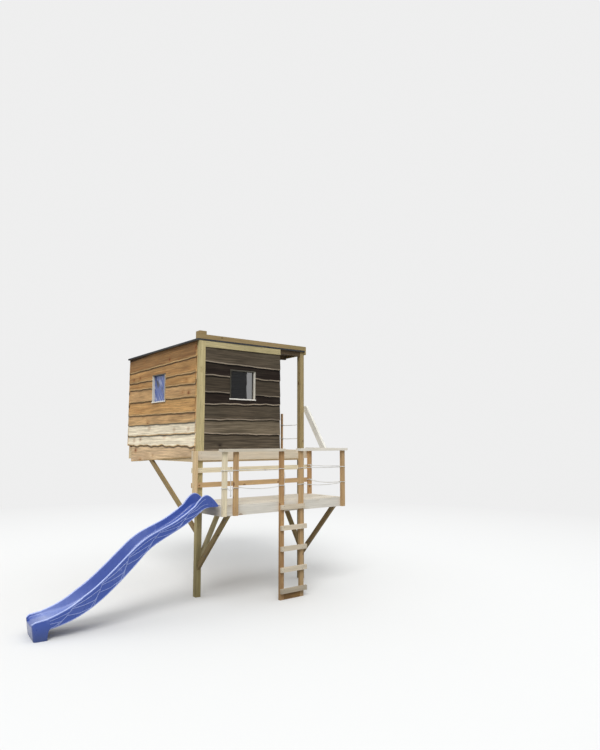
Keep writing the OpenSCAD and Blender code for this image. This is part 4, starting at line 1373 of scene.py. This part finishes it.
# %% [markdown]
# ## Ropes
# Off-white ropes close the deck's open bays. Each is one line that goes from post to post,
# takes a turn or more round each, and hangs in a shallow curve between them. Two loose ends
# hang down past the lower rope and a third one is short, and each has its knot. A twisted rope
# has three strands. In Geometry Nodes that is one profile with three lobes, swept along the
# path while it turns.

# %% A node group that twists a rope
ROPE_D = 0.012
LAY = 0.045
ROPE_STEP = 0.006
STRAND = 0.464
STRAND_OUT = 0.536


def rope_group():
    """Sweeps a profile of three strands along edges and turns it as it goes."""
    tree, given = group("twisted_rope", ("Diameter", "Float"), ("Lay", "Float"), ("Step", "Float"),
                        ("Material", "Material"))
    path = add(tree, "GeometryNodeMeshToCurve", {"Mesh": given["Geometry"]})
    even = add(tree, "GeometryNodeResampleCurve",
               {"Curve": path.outputs[0], "Length": given["Step"]}, mode="LENGTH")
    along = add(tree, "GeometryNodeSplineParameter").outputs["Length"]
    turn = times(tree, math_node(tree, "DIVIDE", along, given["Lay"]), 2 * math.pi)
    tilted = add(tree, "GeometryNodeSetCurveTilt", {"Curve": even.outputs[0], "Tilt": turn})
    ring = add(tree, "GeometryNodeCurvePrimitiveCircle", {"Resolution": 18, "Radius": 0.5})
    spot = add(tree, "GeometryNodeInputPosition").outputs[0]
    angle = math_node(tree, "ARCTAN2", axis_of(tree, spot, "Y"), axis_of(tree, spot, "X"))
    lobe = math_node(tree, "PINGPONG", math_node(tree, "ADD", angle, 2 * math.pi), math.pi / 3)
    side = times(tree, math_node(tree, "SINE", lobe), STRAND_OUT)
    inner = math_node(tree, "SUBTRACT", STRAND ** 2, times(tree, side, side))
    reach = math_node(tree, "SQRT", math_node(tree, "MAXIMUM", inner, 0.0))
    reach = times(tree, math_node(tree, "COSINE", lobe), STRAND_OUT, reach)
    size = times(tree, reach, given["Diameter"])
    shaped = scaled(tree, spot, size)
    profile = add(tree, "GeometryNodeSetPosition", {"Geometry": ring.outputs[0], "Position": shaped})
    tube = add(tree, "GeometryNodeCurveToMesh",
               {"Curve": tilted.outputs[0], "Profile Curve": profile.outputs[0], "Fill Caps": True})
    close_group(tree, tube.outputs[0], given["Material"])
    return tree


twisted_rope = rope_group()

# %% Rope material
tree, shader = new_material("rope_white", Roughness=0.85, Specular_IOR_Level=0.2)
place = object_place(tree)
yarn = cloud(tree, place, (900.0, 900.0, 900.0), 2.0, 0.6)
grime = cloud(tree, place, (7.0, 7.0, 7.0), 3.0)
colour = blend_colour(tree, spread(tree, yarn, 0.35, 0.7), seen(246, 245, 240), seen(216, 213, 204))
colour = blend_colour(tree, spread(tree, grime, 0.52, 0.75, 0.0, 0.35), colour, seen(176, 172, 156))
finish_material(tree, shader, colour, height=yarn, distance=0.0008)
print("Rope material ready")

# %% The ropes' paths
TURN_PITCH = ROPE_D * 1.04
TURN_POINTS = 24
SQUARE = 8
ROPE_POINTS = 14
LOW_ROPE = DECK_TOP + 0.25
HIGH_ROPE = DECK_TOP + 0.5
PORCH_ROPES = (FLOOR_TOP + 0.205, FLOOR_TOP + 0.45)
LOW_SAG = 0.03
HIGH_SAG = 0.004
KNOT_R = 0.0085
KNOT_H = 0.016
KNOT_TURNS = 1.75
KNOT_POINTS = 22
RAIL_POST_W = 0.07
SECOND_POST = 0.19


def hitch(low, high, z, start, turns):
    """Turns of rope round a square post, from one angle on. Minus turns run clockwise."""
    middle, half = (low + high) / 2, (high - low) / 2 + Vector((ROPE_D, ROPE_D, 0)) / 2
    count = round(abs(turns) * TURN_POINTS)
    points = []
    for i in range(count + 1):
        a = start + 2 * math.pi * turns * i / count
        c, s = math.cos(a), math.sin(a)
        reach = (abs(c) ** SQUARE + abs(s) ** SQUARE) ** (-1 / SQUARE)
        climb = TURN_PITCH * abs(turns) * (i / count - 0.5)
        points.append(Vector((middle.x + half.x * c * reach, middle.y + half.y * s * reach, z + climb)))
    return points


def span(first, last, sag):
    """The points between two ends of a rope that hangs in a shallow curve."""
    shares = [i / ROPE_POINTS for i in range(1, ROPE_POINTS)]
    return [first.lerp(last, t) - Vector((0, 0, 4 * sag * t * (1 - t))) for t in shares]


def tie(stops, sag):
    """One rope through a list of hitches, with a hanging curve between each two."""
    path = list(stops[0])
    for stop in stops[1:]:
        path += span(path[-1], stop[0], sag) + list(stop)
    return path


def knot(place):
    """A small overhand knot: nearly two loops, closely wound."""
    turned = [(2 * math.pi * KNOT_TURNS * i / KNOT_POINTS, i / KNOT_POINTS) for i in range(KNOT_POINTS + 1)]
    return [place + Vector((KNOT_R * math.cos(a), KNOT_R * math.sin(a), -KNOT_H * t)) for a, t in turned]


def post_box(node, place):
    """Lower and upper corner of the first, the second or the last post of a row along X."""
    low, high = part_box(node)
    left = {"first": low.x, "second": low.x + SECOND_POST, "last": high.x - RAIL_POST_W}[place]
    return Vector((left, low.y, 0)), Vector((left + RAIL_POST_W, high.y, 0))


first_post, second_post, end_post = (post_box("front_rail_posts", p) for p in ("first", "second", "last"))
ladder_left, ladder_right = (post_box("ladder_sides", p) for p in ("first", "last"))
back_post = post_box("back_rail_posts", "last")
rope_paths = []
for z, sag in ((LOW_ROPE, LOW_SAG), (HIGH_ROPE, HIGH_SAG)):
    left_stops = [hitch(*post, z, math.pi, -1.5) for post in (first_post, second_post, ladder_left)]
    rope_paths.append(tie(left_stops, sag))
    right_stops = [hitch(*ladder_right, z, 0.0, 1.0), hitch(*end_post, z, math.pi, -1.25),
                   hitch(*back_post, z, -math.pi / 2, 1.5)]
    rope_paths.append(tie(right_stops, sag))

# %% Tails, knots and porch ropes
rope_y = (first_post[0].y + first_post[1].y) / 2
tail_x = (first_post[1].x + second_post[0].x) / 2
side_x = ladder_left[1].x + ROPE_D / 2


def down_rope(x, y, points):
    """A stretch that goes down from an upper rope through points (beside x, height) to a knot."""
    path = [Vector((x + beside, y, z)) for beside, z in points]
    return path + knot(path[-1])


rope_paths.append(down_rope(tail_x, rope_y - ROPE_D, (
    (-0.03, HIGH_ROPE), (-0.008, 1.90), (0.004, 1.83), (0.002, 1.75), (0.0, LOW_ROPE), (0.004, 1.64),
    (0.003, 1.59))))
rope_paths.append(down_rope(side_x, rope_y, (
    (0.0, HIGH_ROPE), (0.01, 1.89), (0.024, 1.84), (0.026, 1.79), (0.012, 1.73), (ROPE_D, LOW_ROPE),
    (0.024, 1.64), (0.02, 1.59), (0.016, 1.54))))
rope_paths.append(down_rope(back_post[1].x, back_post[0].y - ROPE_D, (
    (-0.03, HIGH_ROPE), (-0.024, 1.925), (-0.022, 1.905))))

slim_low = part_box("porch_rail_posts")[0]
slim_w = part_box("porch_rail_posts")[1].x - slim_low.x
slim_post = (Vector((slim_low.x, slim_low.y, 0)), Vector((slim_low.x + slim_w, slim_low.y + slim_w, 0)))
for z in PORCH_ROPES:
    begin = Vector((slim_low.x + slim_w / 2, porch_high.y, z))
    stop = hitch(*slim_post, z, -math.pi / 2, 1.5)
    rope_paths.append([begin] + span(begin, stop[0], HIGH_SAG) + stop)
bm = bmesh.new()
join_mesh(bm, run_on_paths(twisted_rope, "rope_white", rope_paths, Diameter=ROPE_D, Lay=LAY,
                           Step=ROPE_STEP))
smooth(bm)
make_piece("rope_lashings", bm, "rope_white", "ropes")

# %% [markdown]
# ## Screws and bolts
# Everything is screwed together, and the braces are bolted. A list of places and directions is
# all that differs from head to head, so one node group sets a head on each point, turned along
# the direction that the point carries, and spun by chance.

# %% Heads of screws and bolts
SCREW_R = 0.0045
BOLT_R = 0.0095
WASHER_R = 0.013
CORNERS = 12


def head_rings(bm, rings):
    """A turned shape from rings of (radius, height, reach of every second corner), closed at both ends."""
    made = []
    for radius, height, reach in rings:
        turned = [(radius * (reach if i % 2 else 1.0), 2 * math.pi * i / CORNERS) for i in range(CORNERS)]
        made.append([bm.verts.new((r * math.cos(a), r * math.sin(a), height)) for r, a in turned])
    join_rings(bm, made)
    bm.faces.new(made[-1])
    bm.faces.new(made[0][::-1])


def head_object(name, *rings):
    """A head that the node group copies."""
    bm = bmesh.new()
    for turned in rings:
        head_rings(bm, turned)
    return new_object(name, mesh_from(bm, name))


hexagon = math.cos(math.pi / 6)
screw_head = head_object("screw_head", [
    (SCREW_R, -0.001, 1.0), (SCREW_R, 0.0003, 1.0), (SCREW_R * 0.85, 0.0008, 1.0),
    (SCREW_R * 0.45, 0.0008, 0.7), (SCREW_R * 0.4, -0.0006, 0.7)])
bolt_head = head_object("bolt_head", [(WASHER_R, -0.001, 1.0), (WASHER_R, 0.0018, 1.0)], [
    (BOLT_R, 0.0018, hexagon), (BOLT_R, 0.0075, hexagon), (BOLT_R * 0.85, 0.0085, hexagon)])


def head_group():
    """Sets a head on each point, along the direction that the point carries."""
    tree, given = group("set_heads", ("Head", "Object"), ("Seed", "Int"), ("Material", "Material"))
    out = add(tree, "GeometryNodeInputNamedAttribute", {"Name": "out"}, data_type="FLOAT_VECTOR")
    aimed = add(tree, "FunctionNodeAlignRotationToVector", {"Vector": out.outputs[0]}, axis="Z")
    chance = add(tree, "FunctionNodeRandomValue",
                 {"Max": 2 * math.pi, "Seed": given["Seed"]}, data_type="FLOAT")
    spin = add(tree, "FunctionNodeAxisAngleToRotation",
               {"Axis": (0.0, 0.0, 1.0), "Angle": chance.outputs[1]})
    turned = add(tree, "FunctionNodeRotateRotation",
                 {"Rotation": aimed.outputs[0], "Rotate By": spin.outputs[0]}, rotation_space="LOCAL")
    head = add(tree, "GeometryNodeObjectInfo", {"Object": given["Head"]}).outputs["Geometry"]
    laid = add(tree, "GeometryNodeInstanceOnPoints",
               {"Points": given["Geometry"], "Instance": head, "Rotation": turned.outputs[0]})
    close_group(tree, laid.outputs[0], given["Material"])
    return tree


set_heads = head_group()

# %% Zinc
tree, shader = new_material("zinc_fixings", Metallic=0.85, Roughness=0.5)
place = object_place(tree)
rust = cloud(tree, place, (60.0, 60.0, 60.0), 3.0)
colour = blend_colour(tree, spread(tree, rust, 0.5, 0.68), seen(128, 126, 120), seen(78, 54, 40))
finish_material(tree, shader, colour)
print("Zinc ready")

# %% [markdown]
# The places come from the boxes of the pieces that are held: two screws at each crossing of a
# board and a post, one in each cladding board at some of the wall's uprights, and bolts through
# the braces.

# %% Where the screws and bolts are
screws, bolts = [], []
POST_FRONT_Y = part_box("front_rail_posts")[0].y
RUNG_FACE_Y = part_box("ladder_rungs")[0].y
OUT_FRONT = Vector((0, -1, 0))
OUT_LEFT = Vector((-1, 0, 0))
OUT_UP = Vector((0, 0, 1))
ASIDE = 0.017
RAIL_ASIDE = 0.015
FASCIA_SCREW = 0.07
LADDER_SCREW = 0.03
RAIL_SPREAD = 0.55
POST_XS = (0.0, porch_low.x + POST_HALF)
rail_post_xs = [box[0].x + RAIL_POST_W / 2 for box in (first_post, second_post, end_post)]
ladder_xs = [box[0].x + RAIL_POST_W / 2 for box in (ladder_left, ladder_right)]


def pair(place, aside, out):
    """Two screws, one on each side of a place."""
    return [(Vector(place) + side * Vector(aside), out) for side in (-1, 1)]


for x in rail_post_xs:
    screws += pair((x, POST_FRONT_Y, DECK_TOP - FASCIA_SCREW), (ASIDE, 0, -2 * ASIDE), OUT_FRONT)
for x in ladder_xs:
    screws += pair((x, POST_FRONT_Y, DECK_TOP - LADDER_SCREW), (ASIDE, 0, -ASIDE), OUT_FRONT)
for part in sorted(solids_of("ladder_rungs"), key=place_of):
    z = place_of(part)[2]
    part.free()
    for x in ladder_xs:
        screws += pair((x, RUNG_FACE_Y, z), (ASIDE, 0, ASIDE), OUT_FRONT)
for part in (*solids_of("back_slim_rails"), *solids_of("back_top_rail")):
    z, high = place_of(part)[2], max(v.co.z for v in part.verts)
    part.free()
    for x in POST_XS:
        screws += pair((x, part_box("back_top_rail")[0].y, z), (0, 0, (high - z) * RAIL_SPREAD), OUT_FRONT)
for node in ("left_handrail", "right_handrail"):
    rail_low, rail_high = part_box(node)
    for x in rail_post_xs + ladder_xs:
        if rail_low.x < x < rail_high.x:
            screws += pair((x, rope_y, rail_high.z), (RAIL_ASIDE, RAIL_ASIDE, 0), OUT_UP)

# %% Screws in the deck, the trim and the cladding
IN_PLANK = (0.22, 0.74)
CORNER_SCREWS = 6
CORNER_IN = (0.04, 0.015)
PLATE_SCREWS = 5
PLATE_IN = (0.04, 0.025)
EDGE_SCREWS = 8
EDGE_IN = (0.06, 0.036)
SCREW_UP = 0.045
SCREW_Y = SCREW_UP * (CLAD_T - CLAD_THIN) / CLAD_STEP - CLAD_T
TOP_CLEAR = 0.03


def along_board(low, high, count, clear):
    """Places along X for a number of screws, clear of both ends of a board."""
    return [low.x + clear + (high.x - low.x - 2 * clear) * i / (count - 1) for i in range(count)]


rows = max(1, round((FRONT_Y - deck_low.y) / (DECK_PLANK + GAP)))
pitch = (FRONT_Y - deck_low.y) / rows
for part in sorted(solids_of("deck_joists"), key=place_of):
    x = place_of(part)[0]
    part.free()
    for row in range(rows):
        screws += [(Vector((x, deck_low.y + pitch * (row + d), DECK_TOP)), OUT_UP) for d in IN_PLANK]
corner_low, corner_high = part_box("corner_board")
corner_xs = (corner_low.x + CORNER_IN[0], corner_high.x - CORNER_IN[1])
for i in range(CORNER_SCREWS):
    z = corner_low.z + (corner_high.z - corner_low.z) * (i + 0.5) / CORNER_SCREWS
    screws += [(Vector((x, corner_low.y, z)), OUT_FRONT) for x in corner_xs]
plate_zs = (plate_low.z + PLATE_IN[1], plate_high.z - PLATE_IN[1])
for x in along_board(plate_low, plate_high, PLATE_SCREWS, PLATE_IN[0]):
    screws += [(Vector((x, plate_low.y, z)), OUT_FRONT) for z in plate_zs]
edge_low, edge_high = roof_box("roof_front_edge")
for x in along_board(edge_low, edge_high, EDGE_SCREWS, EDGE_IN[0]):
    screws.append((ROOF @ Vector((x, edge_low.y, edge_low.z + EDGE_IN[1])), OUT_FRONT))


def clad_screws(place, length, boards, low, top, uprights):
    """One screw in each board of a wall at each upright."""
    out = place.to_3x3() @ OUT_FRONT
    found = []
    for number, edge, limit in rows_of(boards, low, top):
        rise = boards[number % len(boards)][1] / 1000
        for x in uprights:
            z = edge + rise * (x / length - 0.5) + SCREW_UP
            if z < min(limit, roof_under((place @ Vector((x, 0, z))).y)) - TOP_CLEAR:
                found.append((place @ Vector((x, SCREW_Y, z)), out))
    return found


stud_x = STUD / 2
screws += clad_screws(front_place, front_length, FRONT_BOARDS, FLOOR_TOP, plate_low.z,
                      (stud_x, front_x - stud_x, front_x + WINDOW + stud_x, front_length - stud_x))
screws += clad_screws(left_place, left_length, SIDE_BOARDS, LEFT_LOW, PLATE_TOP + STUD,
                      (0.2, left_x - stud_x, left_x + WINDOW + stud_x, left_length - 0.05))
screws += clad_screws(back_place, back_length, SIDE_BOARDS, FLOOR_TOP, PLATE_TOP + STUD,
                      (0.09, back_length / 2, back_length - 0.09))

# %% Bolts through the braces
BRACE_BOLT_Y = -0.268
BRACE_BOLT_Z = 0.617
BRACE_HEAD_Y = -0.82
BRACE_FOOT_Z = 0.4
BOLT_UP = 0.03
brace_slope = (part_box("deck_fascia")[0].z - BRACE_FOOT_Z) / (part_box("deck_fascia")[1].y - FRONT_Y)
for x in POST_XS:
    for y in (BRACE_BOLT_Y, BRACE_HEAD_Y):
        z = BRACE_BOLT_Z + (y - BRACE_BOLT_Y) * brace_slope
        bolts.append((Vector((x - STUD / 2, y, z + BOLT_UP)), OUT_LEFT))
print("Screws:", len(screws), "bolts:", len(bolts))


# %% The heads as pieces
def heads_piece(name, heads, head, seed):
    """All the heads of one kind as one piece."""
    mesh = bpy.data.meshes.new("points")
    mesh.from_pydata([place for place, out in heads], [], [])
    layer = mesh.attributes.new("out", "FLOAT_VECTOR", "POINT")
    for i, (place, out) in enumerate(heads):
        layer.data[i].vector = out
    bm = bmesh.new()
    join_mesh(bm, run_group(set_heads, new_object("points", mesh), "zinc_fixings", Head=head, Seed=seed))
    bpy.data.objects.remove(head)
    make_piece(name, bm, "zinc_fixings")


heads_piece("screw_heads", screws, screw_head, 3)
heads_piece("bolt_heads", bolts, bolt_head, 4)

# %% [markdown]
# ## Floor and light
# The stage is a pale floor that fades into a pale backdrop. The light is that of an overcast
# day: the sky is brightest overhead, and a wide sun from the left draws the forms. Outdoors
# little light comes back from below, so the floor is pale only to the eye, in mirrors and through
# glass, and darker for the light that it sends up. The backdrop is treated the same way.

# %% Stage
BACKDROP = 0.86
PALE_FLOOR = (0.8, 0.8, 0.79, 1.0)
DARK_FLOOR = (0.3, 0.3, 0.29, 1.0)
FADE_START = 5.5
FADE_END = 15.0
FLOOR_R = 60.0


def seen_share(tree):
    """1 for light that reaches the eye, straight, by a mirror or through glass, and 0 otherwise."""
    path = add(tree, "ShaderNodeLightPath")
    mirrored = math_node(tree, "MAXIMUM", path.outputs["Is Glossy Ray"], path.outputs["Is Transmission Ray"])
    return math_node(tree, "MAXIMUM", path.outputs["Is Camera Ray"], mirrored)


tree, shader = new_material("studio_floor", Roughness=0.9, Specular_IOR_Level=0.1)
watched = seen_share(tree)
finish_material(tree, shader, blend_colour(tree, watched, DARK_FLOOR, PALE_FLOOR))
far = add(tree, "ShaderNodeVectorMath", {0: object_place(tree)}, operation="LENGTH").outputs["Value"]
share = times(tree, spread(tree, far, FADE_START, FADE_END), watched)
glow = add(tree, "ShaderNodeEmission", {"Color": (BACKDROP, BACKDROP, BACKDROP, 1.0), "Strength": 1.0})
mixed = add(tree, "ShaderNodeMixShader", {0: share, 1: shader.outputs[0], 2: glow.outputs[0]})
tree.links.new(mixed.outputs[0], tree.nodes["Material Output"].inputs["Surface"])

bm = bmesh.new()
bmesh.ops.create_circle(bm, cap_ends=True, segments=64, radius=FLOOR_R)
floor = new_object("studio_floor", mesh_from(bm, "studio_floor"))
floor.data.materials.append(LOOKS["studio_floor"])
floor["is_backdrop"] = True
print("Floor ready")

# %% Light
SKY_LOW = 0.42
SKY_HIGH = 1.05
SUN = 1.6
SUN_WIDTH = math.radians(30)
SUN_FROM = Vector((-0.5, -0.55, 0.8))

world = bpy.data.worlds.new("studio")
world.use_nodes = True
bpy.context.scene.world = world
tree = world.node_tree
tree.nodes.clear()
toward = add(tree, "ShaderNodeTexCoord").outputs["Generated"]
height = axis_of(tree, toward, "Z")
light = add(tree, "ShaderNodeBackground", {"Color": (0.97, 0.985, 1.0, 1.0),
                                           "Strength": spread(tree, height, 0.0, 0.9, SKY_LOW, SKY_HIGH)})
shown = add(tree, "ShaderNodeBackground", {"Color": (BACKDROP, BACKDROP, BACKDROP, 1.0), "Strength": 1.0})
mixed = add(tree, "ShaderNodeMixShader", {0: seen_share(tree), 1: light.outputs[0], 2: shown.outputs[0]})
add(tree, "ShaderNodeOutputWorld", {"Surface": mixed.outputs[0]})

sun = new_object("sun", bpy.data.lights.new("sun", "SUN"))
sun.data.energy = SUN
sun.data.angle = SUN_WIDTH
sun.rotation_euler = SUN_FROM.to_track_quat("Z", "Y").to_euler()
bpy.context.scene.view_settings.view_transform = "Standard"
print("Stage ready")

# %% [markdown]
# ## Finish
# Both boxes are printed: the CAD model's and the visual model's. The visual model has to
# stay inside the CAD model's box.

# %% Sizes and finish
for node in nodes.values():
    if not node.hide_render and not any(m for m in node.data.materials):
        print("No material yet:", node.name)
low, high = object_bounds()
{"cad": [list(cad_low), list(cad_high)], "visual": [list(low), list(high)]}
print("CAD box:", [round(v, 3) for v in (*cad_low, *cad_high)])
print("Visual box:", [round(v, 3) for v in (*low, *high)])
